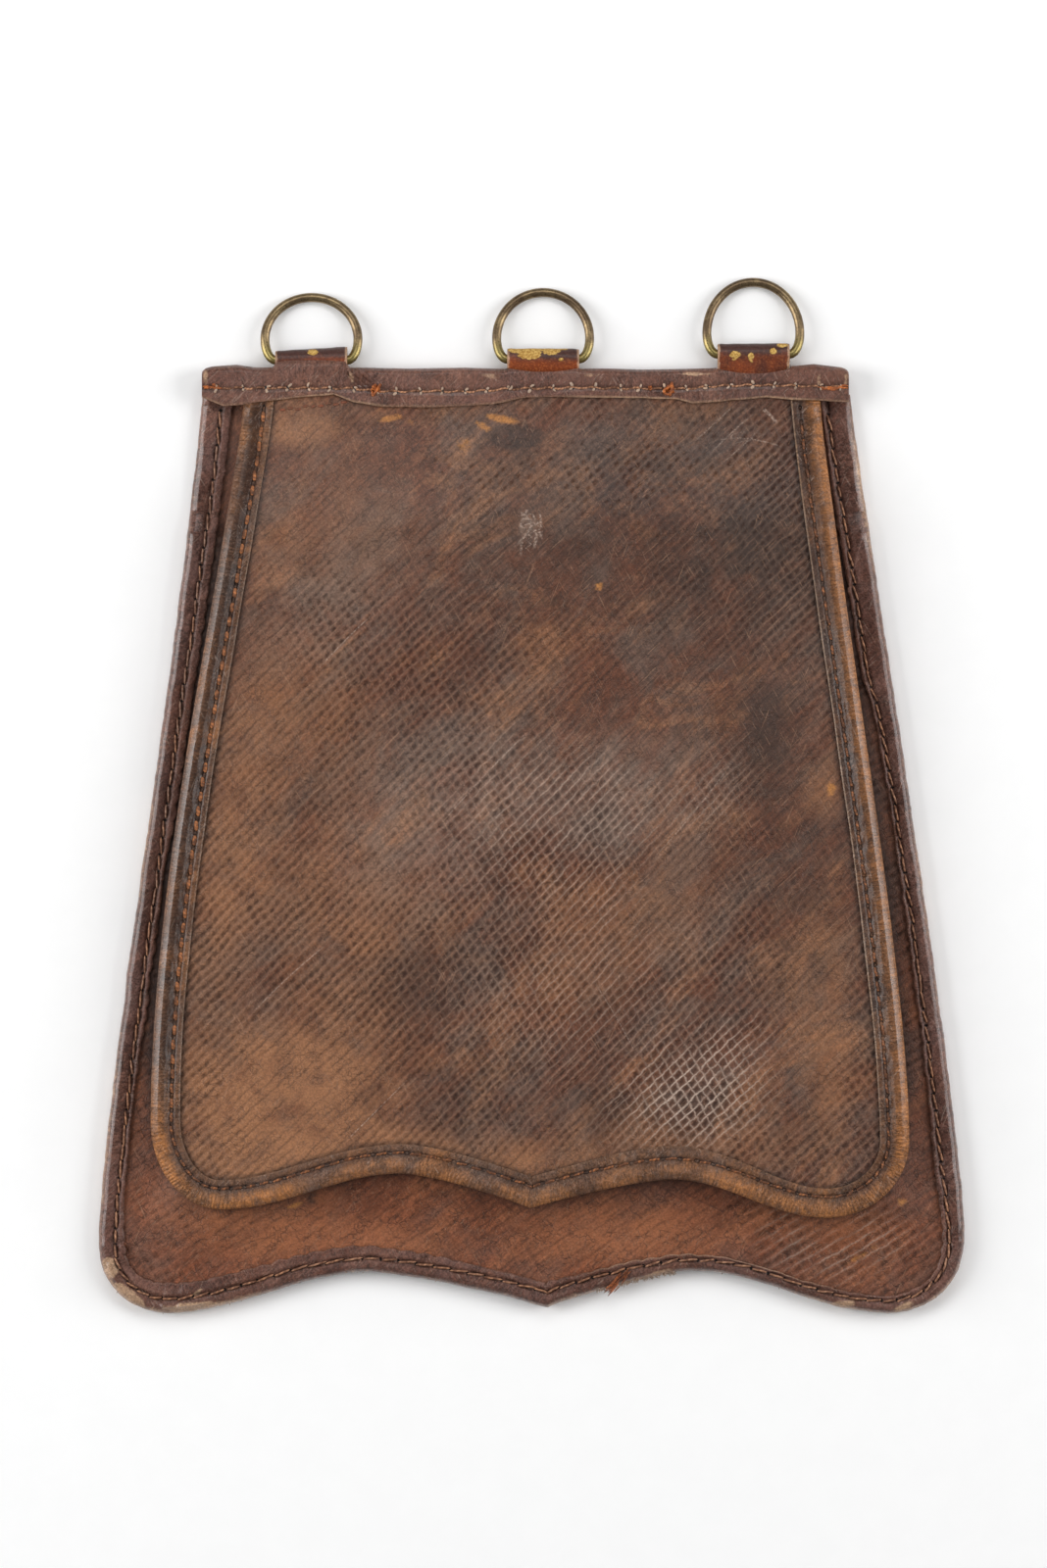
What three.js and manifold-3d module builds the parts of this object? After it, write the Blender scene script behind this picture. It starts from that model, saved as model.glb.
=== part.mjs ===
// A leather sabretache lying on its back with the flap up: two leather panels sewn together
// as a flat pouch, a front flap over its mouth, bound edges, and three brass D-rings held in
// leather loops along the top edge.
// Millimetres. Seen from the front, +X is right, +Y runs up to the rings and +Z faces the viewer.
import * as THREE from "three";
import { mergeVertices } from "three/addons/utils/BufferGeometryUtils.js";
import Module from "manifold-3d";

// Leather and clearances
const PANEL = 1.8; // thickness of the two panels and the flap
const STRIP = 1.1; // thickness of the binding strips
const LOOP_LEATHER = 1.5; // thickness of the leather folded into a ring loop
const GAP = 0.3; // clearance between neighbouring pieces
const EDGE_INSET = STRIP + GAP; // a bound panel ends this far inside its binding's outer edge

// Heights of the layers above the surface that the sabretache lies on
const BACK_Z = STRIP + GAP; // underside of the back panel
const FRONT_Z = BACK_Z + PANEL + GAP; // underside of the pouch front along its seam
const BODY_EDGE_Z = FRONT_Z + PANEL + GAP + STRIP; // top of the body binding
const TONGUE_Z = BACK_Z + PANEL + GAP; // underside of a ring loop's tongue
const TONGUE = 2 * LOOP_LEATHER; // thickness of the tongue
const FLAP_Z = TONGUE_Z + TONGUE + GAP; // underside of the flap inside the top binding
const TOP_EDGE_Z = FLAP_Z + PANEL + GAP + STRIP; // top of the top binding

// Outlines of the body and of the flap, a row for each side, as distances from the middle line.
// top is the half width at the top edge, wide and wideY the widest place, lobe and lobeY the
// lowest place of the rounded corner, arch and archY the hollow beside the middle point, and
// topPull and lowPull how long the side keeps upright at its two ends.
const TOP_Y = 139.4;
const BODY = {
  left: {
    top: 107.2, topPull: 45, wide: 141.1, wideY: -146.9, lowPull: 45,
    lobe: 119, lobeY: -168.8, arch: 53.1, archY: -155.4,
  },
  right: {
    top: 103.2, topPull: 20, wide: 141.1, wideY: -144.8, lowPull: 45,
    lobe: 117.1, lobeY: -168.8, arch: 51.9, archY: -154.9,
  },
  point: { x: 5.1, y: -166.9 },
};
const FLAP = {
  left: {
    top: 93.1, topPull: 40, wide: 123.6, wideY: -106, lowPull: 90,
    lobe: 100.8, lobeY: -134.4, arch: 42, archY: -122.7,
  },
  right: {
    top: 93.5, topPull: 40, wide: 122.6, wideY: -112, lowPull: 60,
    lobe: 95.7, lobeY: -137.1, arch: 45.4, archY: -124.6,
  },
  point: { x: -0.3, y: -133.9 },
};
const POINT_FALL = 1.4; // how the edge falls from an arch to the point, 1 being straight

// Bindings
const TOP_BAND = 12; // width of the top binding
const BODY_BAND_TOP = 10; // width of the body binding beside the top binding
const BODY_BAND_LOW = 7.6; // and along the lower half
const BODY_BAND_FROM_Y = 0; // it widens above this height
const FLAP_BAND = 9.6; // width of the flap binding
const BAND_BEND = 2.2; // depth of a binding's rounded outer edge
const PANEL_TOP_Y = TOP_Y - 3; // top edge of the back panel and the flap, inside the top binding
const BAND_TOP_Y = TOP_Y - TOP_BAND - GAP; // top ends of the body and flap bindings

// Pouch
const MOUTH_Y = 84; // straight upper edge of the pouch front, under the flap
const STEP_FROM_Y = MOUTH_Y + 2 * GAP; // the body binding steps down beside the mouth from here
const STEP_TO_Y = MOUTH_Y + 10; // to here
const SEAM = 10.2; // width of the flat sewn border of the pouch front
const POUCH_RISE = 8; // how far the pouch front stands off the back panel
const POUCH_SLOPE = 40; // width of the slope between the border and the full rise

// Flap
const FLAP_RISE = 8.5; // how far the flap climbs from the top binding to lie over the pouch
const FLAP_SIDE_DROOP = 1.5; // how far its side edges sink
const FLAP_TAIL_DROOP = 0.7; // how far its lower edge sinks
const TAIL_FROM_Y = 10; // the lower edge starts to sink here
const TAIL_LENGTH = 140; // and sinks over this length

// Rings and loops, a row for each: x is the middle of the ring, rise the height of its straight
// bar above the top edge, and height the distance from the bar to the ring's round end.
const RINGS = {
  left: { x: -71.7, rise: 2.4, height: 20.9 },
  middle: { x: 3.8, rise: 2.7, height: 22.2 },
  right: { x: 72.3, rise: 4.3, height: 23.9 },
};
const WIRE = 3; // diameter of the ring's wire
const RING_HALF = 15.15; // half the ring's width, to the middle of the wire
const CORNER_WIDTH = 3.5; // the rounded corner between bar and side, along the bar
const CORNER_HEIGHT = 7; // and along the side
const RING_LIFT = 0.2; // the ring's end lies this far above the surface
const BAR_Z = TONGUE_Z + TONGUE / 2; // height of the bar
const LOOP_WIDTH = 23.4; // width of a ring loop
const LOOP_EYE = WIRE / 2 + GAP; // radius of the eye that the bar turns in
const LOOP_OUTER = LOOP_EYE + LOOP_LEATHER + 0.2; // outer radius around the bar
const LOOP_NECK = 5.2; // the loop has narrowed to its tongue this far below the bar
const TONGUE_DEPTH = 15; // how far the tongue reaches below the top edge
const SLIT_DEPTH = 1.4; // the slit for a loop is cut this far down the front of the top binding
const SLIT_LOW_Z = 1.6; // lower side of the slit

// Fineness of the meshes
const CLIMB_STEPS = 5;
const SIDE_STEPS = 15;
const CORNER_STEPS = 6;
const WAVE_STEPS = 6;
const LOWER_EDGE_STEPS = CORNER_STEPS + 4 * WAVE_STEPS;
const BEND_STEPS = 6;
const WIRE_SIDES = 8;
const RING_ARC_STEPS = 18;
const RING_CORNER_STEPS = 4;
const LOOP_STEPS = 8;

const wasm = await Module();
wasm.setup();

const { clamp, lerp, smoothstep } = THREE.MathUtils;

function leather(colour, roughness) {
  return new THREE.MeshStandardMaterial({ color: colour, roughness, metalness: 0 });
}

const FLAP_LEATHER = leather(0x6d5040, 0.5);
const PANEL_LEATHER = leather(0x7a4d3a, 0.6);
const BINDING_LEATHER = leather(0x6f5044, 0.55);
const FLAP_EDGE_LEATHER = leather(0x6e5343, 0.45);
const LOOP_MATERIAL = leather(0x77492f, 0.6);
const BRASS = new THREE.MeshStandardMaterial({ color: 0x8c7c58, roughness: 0.4, metalness: 1 });

// Geometry helpers

function meshGeometry(positions, triangles) {
  const geometry = new THREE.BufferGeometry();
  geometry.setAttribute("position", new THREE.Float32BufferAttribute(positions, 3));
  geometry.setIndex(triangles);
  return geometry;
}

function toSolid(geometry) {
  const bare = geometry.clone();
  bare.deleteAttribute("normal");
  bare.deleteAttribute("uv");
  const merged = mergeVertices(bare, 1e-4);
  return new wasm.Manifold(new wasm.Mesh({
    numProp: 3,
    vertProperties: new Float32Array(merged.attributes.position.array),
    triVerts: new Uint32Array(merged.index.array),
  }));
}

function fromSolid(solid) {
  const { vertProperties, triVerts } = solid.getMesh();
  return meshGeometry(Array.from(vertProperties), Array.from(triVerts));
}

// The place on a falling curve that has a given height, as the curve's own parameter.
function parameterAt(curve, y) {
  let [high, low] = [0, 1];
  while (low - high > Number.EPSILON) {
    const half = (high + low) / 2;
    if (curve.getPoint(half).y > y) {
      high = half;
    } else {
      low = half;
    }
  }
  return low;
}

// Half of an outline, from the top edge down to the middle point, on the side given by sign.
// Its side has a point at each of the heights, and even steps below the last of them.
function halfEdge(side, sign, point, heights) {
  const curve = new THREE.CubicBezierCurve(
    new THREE.Vector2(side.top, TOP_Y),
    new THREE.Vector2(side.top, TOP_Y - side.topPull),
    new THREE.Vector2(side.wide, side.wideY + side.lowPull),
    new THREE.Vector2(side.wide, side.wideY),
  );
  const corner = new THREE.EllipseCurve(
    side.lobe, side.wideY, side.wide - side.lobe, side.wideY - side.lobeY, 0, -Math.PI / 2, true,
  );
  const stops = heights.map((y) => parameterAt(curve, y));
  const lastStop = stops.at(-1);
  for (let k = 1; k <= SIDE_STEPS; k += 1) {
    stops.push(lerp(lastStop, 1, k / SIDE_STEPS));
  }
  const points = stops.map((stop) => curve.getPoint(stop));
  points.push(...corner.getPoints(CORNER_STEPS).slice(1));
  for (let k = 1; k <= WAVE_STEPS; k += 1) {
    const along = k / WAVE_STEPS;
    const climb = (1 - Math.cos(Math.PI * along)) / 2;
    points.push(new THREE.Vector2(
      lerp(side.lobe, side.arch, along), lerp(side.lobeY, side.archY, climb),
    ));
  }
  for (let k = 1; k <= WAVE_STEPS; k += 1) {
    const along = k / WAVE_STEPS;
    points.push(new THREE.Vector2(
      lerp(side.arch, sign * point.x, along), lerp(side.archY, point.y, along ** POINT_FALL),
    ));
  }
  return points.map((p) => new THREE.Vector2(sign * p.x, p.y));
}

// A whole outline, from the top left corner round the bottom to the top right corner.
function shieldEdge({ left, right, point }, heights) {
  const rightHalf = halfEdge(right, 1, point, heights).slice(0, -1).reverse();
  return halfEdge(left, -1, point, heights).concat(rightHalf);
}

// The inward direction at each point of an outline, longer where the outline bends, so that
// a step along it keeps its distance from both neighbouring stretches.
function inwardNormals(edge) {
  const across = edge.slice(1).map((p, i) => {
    const along = p.clone().sub(edge[i]).normalize();
    return new THREE.Vector2(-along.y, along.x);
  });
  return edge.map((_, i) => {
    const before = across[Math.max(i - 1, 0)];
    const after = across[Math.min(i, across.length - 1)];
    const mean = before.clone().add(after).normalize();
    return mean.divideScalar(mean.dot(after));
  });
}

function inset(edge, distance) {
  const normals = inwardNormals(edge);
  return edge.map((p, i) => p.clone().addScaledVector(normals[i], distance));
}

// The stretch of an outline from one of its side heights down.
function below(edge, y) {
  return edge.filter((p) => p.y < y + GAP / 2);
}

function distanceTo(edge, x, y) {
  const here = new THREE.Vector3(x, y, 0);
  const nearest = new THREE.Vector3();
  const stretch = new THREE.Line3();
  let least = Infinity;
  edge.slice(1).forEach((p, i) => {
    stretch.start.set(edge[i].x, edge[i].y, 0);
    stretch.end.set(p.x, p.y, 0);
    stretch.closestPointToPoint(here, true, nearest);
    least = Math.min(least, nearest.distanceTo(here));
  });
  return least;
}

// A curved sheet of leather inside an outline that is open at the top: a grid spread between
// its four sides, PANEL thick, whose underside has the height given by underside(x, y).
function leatherSheet(edge, underside) {
  const rows = (edge.length - 1 - LOWER_EDGE_STEPS) / 2;
  const columns = LOWER_EDGE_STEPS;
  const left = edge.slice(0, rows + 1);
  const bottom = edge.slice(rows, rows + columns + 1);
  const right = edge.slice(rows + columns).reverse();
  const stride = columns + 1;
  const layer = stride * (rows + 1);
  const low = [];
  const high = [];
  for (let row = 0; row <= rows; row += 1) {
    for (let column = 0; column <= columns; column += 1) {
      const u = column / columns;
      const v = row / rows;
      const side = left[row].clone().lerp(right[row], u);
      const base = bottom[0].clone().lerp(bottom[columns], u);
      const { x, y } = side.add(bottom[column].clone().sub(base).multiplyScalar(v));
      const z = underside(x, y);
      low.push(x, y, z);
      high.push(x, y, z + PANEL);
    }
  }
  const triangles = [];
  for (let row = 0; row < rows; row += 1) {
    for (let column = 0; column < columns; column += 1) {
      const a = row * stride + column;
      const [b, c, d] = [a + stride, a + stride + 1, a + 1];
      triangles.push(a, c, b, a, d, c);
      triangles.push(layer + a, layer + b, layer + c, layer + a, layer + c, layer + d);
    }
  }
  const run = (count, index) => Array.from({ length: count }, (_, k) => index(k));
  const rim = [
    ...run(rows, (k) => k * stride),
    ...run(columns, (k) => rows * stride + k),
    ...run(rows, (k) => (rows - k) * stride + columns),
    ...run(columns, (k) => columns - k),
  ];
  rim.forEach((a, i) => {
    const b = rim[(i + 1) % rim.length];
    triangles.push(a, b, layer + b, a, layer + b, layer + a);
  });
  return meshGeometry(low.concat(high), triangles);
}

// The section of a folded binding, as distances in from its outer edge and heights: a rounded
// outer edge with two flat legs that hold the bound leather between them.
function bindingSection(width, lowZ, highZ) {
  const half = (highZ - lowZ) / 2;
  const middle = (highZ + lowZ) / 2;
  const upperLeg = [
    [STRIP, highZ - STRIP], [width, highZ - STRIP], [width, highZ],
  ];
  const bend = [];
  for (let k = 0; k <= BEND_STEPS; k += 1) {
    const angle = Math.PI * (0.5 - k / BEND_STEPS);
    bend.push([BAND_BEND * (1 - Math.cos(angle)), middle + half * Math.sin(angle)]);
  }
  const lowerLeg = [
    [width, lowZ], [width, lowZ + STRIP], [STRIP, lowZ + STRIP],
  ];
  return [...upperLeg, ...bend, ...lowerLeg];
}

// A binding swept along an outline. sectionAt(point) gives its section there, and seat(x, y)
// the height that the section stands on.
function bindingSweep(edge, sectionAt, seat) {
  const normals = inwardNormals(edge);
  const positions = [];
  const triangles = [];
  const sections = edge.map(sectionAt);
  const count = sections[0].length;
  sections.forEach((section, i) => section.forEach(([inward, z]) => {
    const p = edge[i].clone().addScaledVector(normals[i], inward);
    positions.push(p.x, p.y, z + seat(p.x, p.y));
  }));
  for (let i = 0; i + 1 < edge.length; i += 1) {
    for (let j = 0; j < count; j += 1) {
      const a = i * count + j;
      const b = i * count + ((j + 1) % count);
      triangles.push(a, b, b + count, a, b + count, a + count);
    }
  }
  const lastRing = (edge.length - 1) * count;
  [[sections[0], 0, true], [sections.at(-1), lastRing, false]].forEach(([section, start, flip]) => {
    const contour = section.map(([inward, z]) => new THREE.Vector2(inward, z));
    THREE.ShapeUtils.triangulateShape(contour, []).forEach(([a, b, c]) => {
      const face = flip ? [a, c, b] : [a, b, c];
      triangles.push(...face.map((k) => start + k));
    });
  });
  return meshGeometry(positions, triangles);
}

// Moves a shape drawn across Y and Z, and extruded, so that the extrusion runs along X.
function alongX(geometry) {
  return geometry.applyMatrix4(new THREE.Matrix4().makeBasis(
    new THREE.Vector3(0, 1, 0), new THREE.Vector3(0, 0, 1), new THREE.Vector3(1, 0, 0),
  ));
}

// Pieces

const climbHeights = Array.from({ length: CLIMB_STEPS + 1 }, (_, k) => (
  lerp(BAND_TOP_Y, MOUTH_Y, k / CLIMB_STEPS)
));
const bodyEdge = shieldEdge(BODY, [
  TOP_Y, PANEL_TOP_Y, BAND_TOP_Y, STEP_TO_Y, STEP_FROM_Y, MOUTH_Y,
]);
const flapEdge = shieldEdge(FLAP, [TOP_Y, PANEL_TOP_Y, ...climbHeights]);
const onTheFloor = () => 0;

function pouchUnderside(x, y) {
  const inside = distanceTo(bodyEdge, x, y);
  return FRONT_Z + POUCH_RISE * smoothstep(inside, SEAM, SEAM + POUCH_SLOPE);
}

function flapUnderside(x, y) {
  const climb = smoothstep(-y, TOP_BAND - TOP_Y, -MOUTH_Y);
  const side = FLAP_SIDE_DROOP * clamp(Math.abs(x) / FLAP.left.wide, 0, 1) ** 2;
  const tail = FLAP_TAIL_DROOP * smoothstep(TAIL_FROM_Y - y, 0, TAIL_LENGTH);
  return FLAP_Z + climb * (FLAP_RISE - side - tail);
}

function backPanel() {
  const edge = inset(below(bodyEdge, PANEL_TOP_Y), EDGE_INSET);
  const geometry = new THREE.ExtrudeGeometry(new THREE.Shape(edge), {
    depth: PANEL, bevelEnabled: false,
  });
  return geometry.translate(0, 0, BACK_Z);
}

function pouchFront() {
  return leatherSheet(inset(below(bodyEdge, MOUTH_Y), EDGE_INSET), pouchUnderside);
}

function flap() {
  return leatherSheet(inset(below(flapEdge, PANEL_TOP_Y), EDGE_INSET), flapUnderside);
}

// The body binding clamps both panels, and the back panel alone above the pouch mouth.
function bodyBinding() {
  const sectionAt = (p) => {
    const widen = smoothstep(p.y, BODY_BAND_FROM_Y, BAND_TOP_Y);
    const stepDown = (PANEL + GAP) * smoothstep(p.y, STEP_FROM_Y, STEP_TO_Y);
    const width = lerp(BODY_BAND_LOW, BODY_BAND_TOP, widen);
    return bindingSection(width, 0, BODY_EDGE_Z - stepDown);
  };
  return bindingSweep(below(bodyEdge, BAND_TOP_Y), sectionAt, onTheFloor);
}

function flapBinding() {
  const section = bindingSection(FLAP_BAND, -EDGE_INSET, PANEL + EDGE_INSET);
  return bindingSweep(below(flapEdge, BAND_TOP_Y), () => section, flapUnderside);
}

// The top binding is one folded strip over the top edge, with a slit for each ring loop.
function topBinding() {
  const fold = [
    new THREE.Vector2(BODY.right.top, TOP_Y),
    new THREE.Vector2(-BODY.left.top, TOP_Y),
  ];
  const section = bindingSection(TOP_BAND, 0, TOP_EDGE_Z);
  let solid = toSolid(bindingSweep(fold, () => section, onTheFloor));
  Object.values(RINGS).forEach(({ x }) => {
    const slit = new THREE.BoxGeometry(LOOP_WIDTH + 2 * GAP, 2 * SLIT_DEPTH, TOP_EDGE_Z);
    slit.translate(x, TOP_Y, SLIT_LOW_Z + TOP_EDGE_Z / 2);
    solid = solid.subtract(toSolid(slit));
  });
  return fromSolid(solid);
}

// A strip of leather folded round the ring's bar, its two ends together as a tongue that is
// sewn in between the back panel and the flap. Drawn across Y and Z with the bar at the origin.
function ringLoop(rise) {
  const half = TONGUE / 2;
  const tail = rise + TONGUE_DEPTH;
  const neckAngle = Math.atan2(half, -LOOP_NECK);
  const touch = neckAngle - Math.acos(LOOP_OUTER / Math.hypot(LOOP_NECK, half));
  const outline = new THREE.Shape();
  outline.moveTo(-tail, -half);
  outline.lineTo(-LOOP_NECK, -half);
  outline.absarc(0, 0, LOOP_OUTER, -touch, touch, false);
  outline.lineTo(-LOOP_NECK, half);
  outline.lineTo(-tail, half);
  outline.holes.push(new THREE.Path().absarc(0, 0, LOOP_EYE, 0, 2 * Math.PI, true));
  const geometry = new THREE.ExtrudeGeometry(outline, {
    depth: LOOP_WIDTH, bevelEnabled: false, curveSegments: LOOP_STEPS,
  });
  return alongX(geometry.translate(0, 0, -LOOP_WIDTH / 2));
}

// The middle of a D-ring's wire, with its straight bar along X through the origin.
function ringPath(height) {
  const straight = RING_HALF - CORNER_WIDTH;
  const side = [];
  for (let k = 0; k <= RING_CORNER_STEPS; k += 1) {
    const angle = (Math.PI / 2) * (k / RING_CORNER_STEPS);
    side.push(new THREE.Vector2(
      straight + CORNER_WIDTH * Math.sin(angle), CORNER_HEIGHT * (1 - Math.cos(angle)),
    ));
  }
  const arc = [];
  for (let k = 1; k < RING_ARC_STEPS; k += 1) {
    const angle = Math.PI * (k / RING_ARC_STEPS);
    arc.push(new THREE.Vector2(
      RING_HALF * Math.cos(angle), CORNER_HEIGHT + (height - CORNER_HEIGHT) * Math.sin(angle),
    ));
  }
  const otherSide = side.map((p) => new THREE.Vector2(-p.x, p.y)).reverse();
  return side.concat(arc, otherSide);
}

// A round wire swept along a closed flat path.
function dRing(height) {
  const path = ringPath(height);
  const positions = [];
  const triangles = [];
  path.forEach((p, i) => {
    const before = path.at(i - 1);
    const after = path[(i + 1) % path.length];
    const along = after.clone().sub(before).normalize();
    for (let k = 0; k < WIRE_SIDES; k += 1) {
      const angle = (2 * Math.PI * k) / WIRE_SIDES;
      const inward = (WIRE / 2) * Math.cos(angle);
      positions.push(p.x - along.y * inward, p.y + along.x * inward, (WIRE / 2) * Math.sin(angle));
    }
  });
  path.forEach((_, i) => {
    const next = (i + 1) % path.length;
    for (let k = 0; k < WIRE_SIDES; k += 1) {
      const turn = (k + 1) % WIRE_SIDES;
      const [a, b] = [i * WIRE_SIDES + k, i * WIRE_SIDES + turn];
      const [c, d] = [next * WIRE_SIDES + turn, next * WIRE_SIDES + k];
      triangles.push(a, b, c, a, c, d);
    }
  });
  return meshGeometry(positions, triangles);
}

// Assembly

const sabretache = new THREE.Group();
const bag = new THREE.Group();
sabretache.add(bag);

function addPiece(parent, name, geometry, material) {
  const mesh = new THREE.Mesh(geometry, material.clone());
  mesh.name = name;
  parent.add(mesh);
}

addPiece(bag, "back_panel", backPanel(), PANEL_LEATHER);
addPiece(bag, "pouch_front", pouchFront(), PANEL_LEATHER);
addPiece(bag, "flap", flap(), FLAP_LEATHER);
addPiece(bag, "body_binding", bodyBinding(), BINDING_LEATHER);
addPiece(bag, "flap_binding", flapBinding(), FLAP_EDGE_LEATHER);
addPiece(bag, "top_binding", topBinding(), BINDING_LEATHER);

Object.entries(RINGS).forEach(([place, { x, rise, height }]) => {
  const barAxis = new THREE.Group();
  barAxis.position.set(x, TOP_Y + rise, BAR_Z);
  bag.add(barAxis);
  addPiece(barAxis, `ring_loop_${place}`, ringLoop(rise), LOOP_MATERIAL);
  const swing = new THREE.Group();
  swing.rotation.x = -Math.asin((BAR_Z - WIRE / 2 - RING_LIFT) / height);
  barAxis.add(swing);
  addPiece(swing, `d_ring_${place}`, dRing(height), BRASS);
});

// The origin is under the middle of the whole piece, on the surface that it lies on.
bag.updateMatrixWorld(true);
const extent = new THREE.Box3().setFromObject(bag, true);
const middle = extent.getCenter(new THREE.Vector3());
bag.position.set(-middle.x, -middle.y, -extent.min.z);

export default sabretache;
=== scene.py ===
"""The looks of an old leather sabretache that lies on its back with the flap up: hatched leather
panels, sewn bindings, ring loops, brass D-rings, their stitching and wear, on a pale floor."""

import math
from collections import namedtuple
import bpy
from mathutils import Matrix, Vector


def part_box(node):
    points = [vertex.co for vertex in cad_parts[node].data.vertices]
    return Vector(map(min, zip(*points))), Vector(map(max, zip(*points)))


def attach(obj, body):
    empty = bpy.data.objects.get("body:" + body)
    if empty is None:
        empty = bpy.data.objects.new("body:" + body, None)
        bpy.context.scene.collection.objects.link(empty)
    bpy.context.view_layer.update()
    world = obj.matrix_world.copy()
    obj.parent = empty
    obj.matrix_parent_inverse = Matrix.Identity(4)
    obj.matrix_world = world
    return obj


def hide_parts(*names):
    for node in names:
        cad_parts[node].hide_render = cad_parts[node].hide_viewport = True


bl_info = {
    "name": "Leather Sabretache",
    "version": (1, 0, 0),
    "blender": (4, 5, 0),
    "location": "View3D > Sidebar > Sabretache",
    "description": "Builds the leather, stitching and rings of a sabretache around its solid frame",
    "category": "Add Mesh",
}

import bmesh
import bpy
import numpy as np
from bpy.props import FloatProperty, FloatVectorProperty, PointerProperty
from mathutils import kdtree, noise

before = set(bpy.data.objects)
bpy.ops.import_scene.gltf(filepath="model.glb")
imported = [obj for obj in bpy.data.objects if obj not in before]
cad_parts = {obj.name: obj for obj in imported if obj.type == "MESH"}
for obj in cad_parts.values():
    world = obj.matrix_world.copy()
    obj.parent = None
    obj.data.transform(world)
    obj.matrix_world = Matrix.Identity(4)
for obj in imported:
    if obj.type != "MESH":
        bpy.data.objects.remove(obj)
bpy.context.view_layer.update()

MM = 0.001  # metres in a millimetre: lengths below are millimetres unless a name says otherwise


def node_box(node):
    """Lowest and highest corner of a solid of the frame, in millimetres."""
    low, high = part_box(node)
    return np.array(low) / MM, np.array(high) / MM


# Sizes that the frame gives
BACK_LOW, BACK_HIGH = node_box("back_panel")
FRONT_LOW, FRONT_HIGH = node_box("pouch_front")
FLAP_LOW, FLAP_HIGH = node_box("flap")
TOP_BAND_LOW, TOP_BAND_HIGH = node_box("top_binding")
LOOP_LOW, LOOP_HIGH = node_box("ring_loop_middle")

PANEL = BACK_HIGH[2] - BACK_LOW[2]
BACK_Z = BACK_LOW[2]
FRONT_Z = FRONT_LOW[2]
POUCH_RISE = FRONT_HIGH[2] - FRONT_Z - PANEL
FLAP_Z = FLAP_LOW[2]
EDGE_INSET = FLAP_Z - node_box("flap_binding")[0][2]
BODY_EDGE_Z = node_box("body_binding")[1][2]
TOP_EDGE_Z = TOP_BAND_HIGH[2]
LOOP_WIDTH = LOOP_HIGH[0] - LOOP_LOW[0]
LOOP_OUTER = (LOOP_HIGH[2] - LOOP_LOW[2]) / 2
BAR_Z = (LOOP_HIGH[2] + LOOP_LOW[2]) / 2

# Sizes of the construction that the boxes do not show
TOP_Y = 139.4  # the fold of the top binding, in the outline's own measure
Y_SHIFT = TOP_BAND_HIGH[1] - TOP_Y  # from that measure to the frame
STRIP = 1.1
TOP_BAND = 12.0
BAND_TOP_Y = TOP_Y - TOP_BAND - 0.3
FLAP_BAND = 9.6
BAND_BEND = 2.2
MOUTH_Y = 84.0
STEP_TO_Y = 94.0
SEAM = 10.2
POUCH_SLOPE = 40.0
POUCH_EASE = 9.0  # the pouch front's slope is evened out over this radius
FLAP_RISE = 8.5
FLAP_SIDE_DROOP = 1.5
FLAP_TAIL_DROOP = 0.7
TAIL_FROM_Y = 10.0
TAIL_LENGTH = 140.0
WIRE = 3.0
RING_HALF = 15.15
RING_LIFT = 0.2
CORNER_WIDTH = 3.5
CORNER_HEIGHT = 7.0
LOOP_EYE = 1.8
LOOP_NECK = 5.2
LOOP_TONGUE = 15.0
LOOP_LEATHER = 1.5

# One side of an outline, as distances from the middle line
Side = namedtuple("Side", "top top_pull wide wide_y low_pull lobe lobe_y arch arch_y")
# A whole outline: its two sides and the point in the middle of its lower edge
Shield = namedtuple("Shield", "left right point")
BODY = Shield(
    left=Side(107.2, 45, 141.1, -146.9, 45, 119, -168.8, 53.1, -155.4),
    right=Side(103.2, 20, 141.1, -144.8, 45, 117.1, -168.8, 51.9, -154.9),
    point=(5.1, -166.9),
)
FLAP = Shield(
    left=Side(93.1, 40, 123.6, -106, 90, 100.8, -134.4, 42, -122.7),
    right=Side(93.5, 40, 122.6, -112, 60, 95.7, -137.1, 45.4, -124.6),
    point=(-0.3, -133.9),
)
POINT_FALL = 1.4

# A D-ring and its loop: place, height of its bar over the top edge and height of the ring, how
# far the loop's fold climbs from left to right, the lip of the slit below the fold at its ends and
# in its middle, and how red the loop is near that lip
Ring = namedtuple("Ring", "x rise height climb lip_end lip_middle warmth")
RINGS = {
    "left": Ring(-71.7, 2.4, 20.9, 2.4, -1.6, -2.2, 0.7),
    "middle": Ring(3.8, 2.7, 22.2, -0.2, 0.3, 1.7, 0.85),
    "right": Ring(72.3, 4.3, 23.9, 0.3, 0.5, 2.3, 0.55),
}

# Hatching: how far its two sets of lines turn from the X axis
RISING_TURN = math.radians(43.8)
FALLING_TURN = math.radians(119.8)
HATCH_TURNS = np.array((RISING_TURN, FALLING_TURN))
POUCH_TURNS = np.radians((30, 122))  # the pouch's own, coarser hatching
POUCH_COARSER = 1.2
# How clear the flap's falling lines are: x where it meets the middle line, share
FALLING_SHARE = np.array([
    (-104, 0.3), (-72, 0.4), (-40, 0.95), (4, 0.4), (40, 0.6), (84, 0.8), (112, 0.5),
])

# Depth of the top binding's cut edge below its fold: x, depth
TOP_BINDING_DROP = np.array([
    (-107.2, 9.8), (-100.2, 12.8), (-93.8, 12.2), (-83.8, 10.9), (-71.7, 9.6), (-64.3, 9.0),
    (-57.9, 11.5), (-47.4, 13.1), (-32.6, 13.1), (-12.5, 12.2), (-1.3, 9.9), (21.1, 9.9),
    (37.8, 10.2), (47.4, 10.6), (52.5, 11.8), (62.4, 11.2), (76.5, 9.9), (84.2, 10.6),
    (103.2, 11.5),
])
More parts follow.
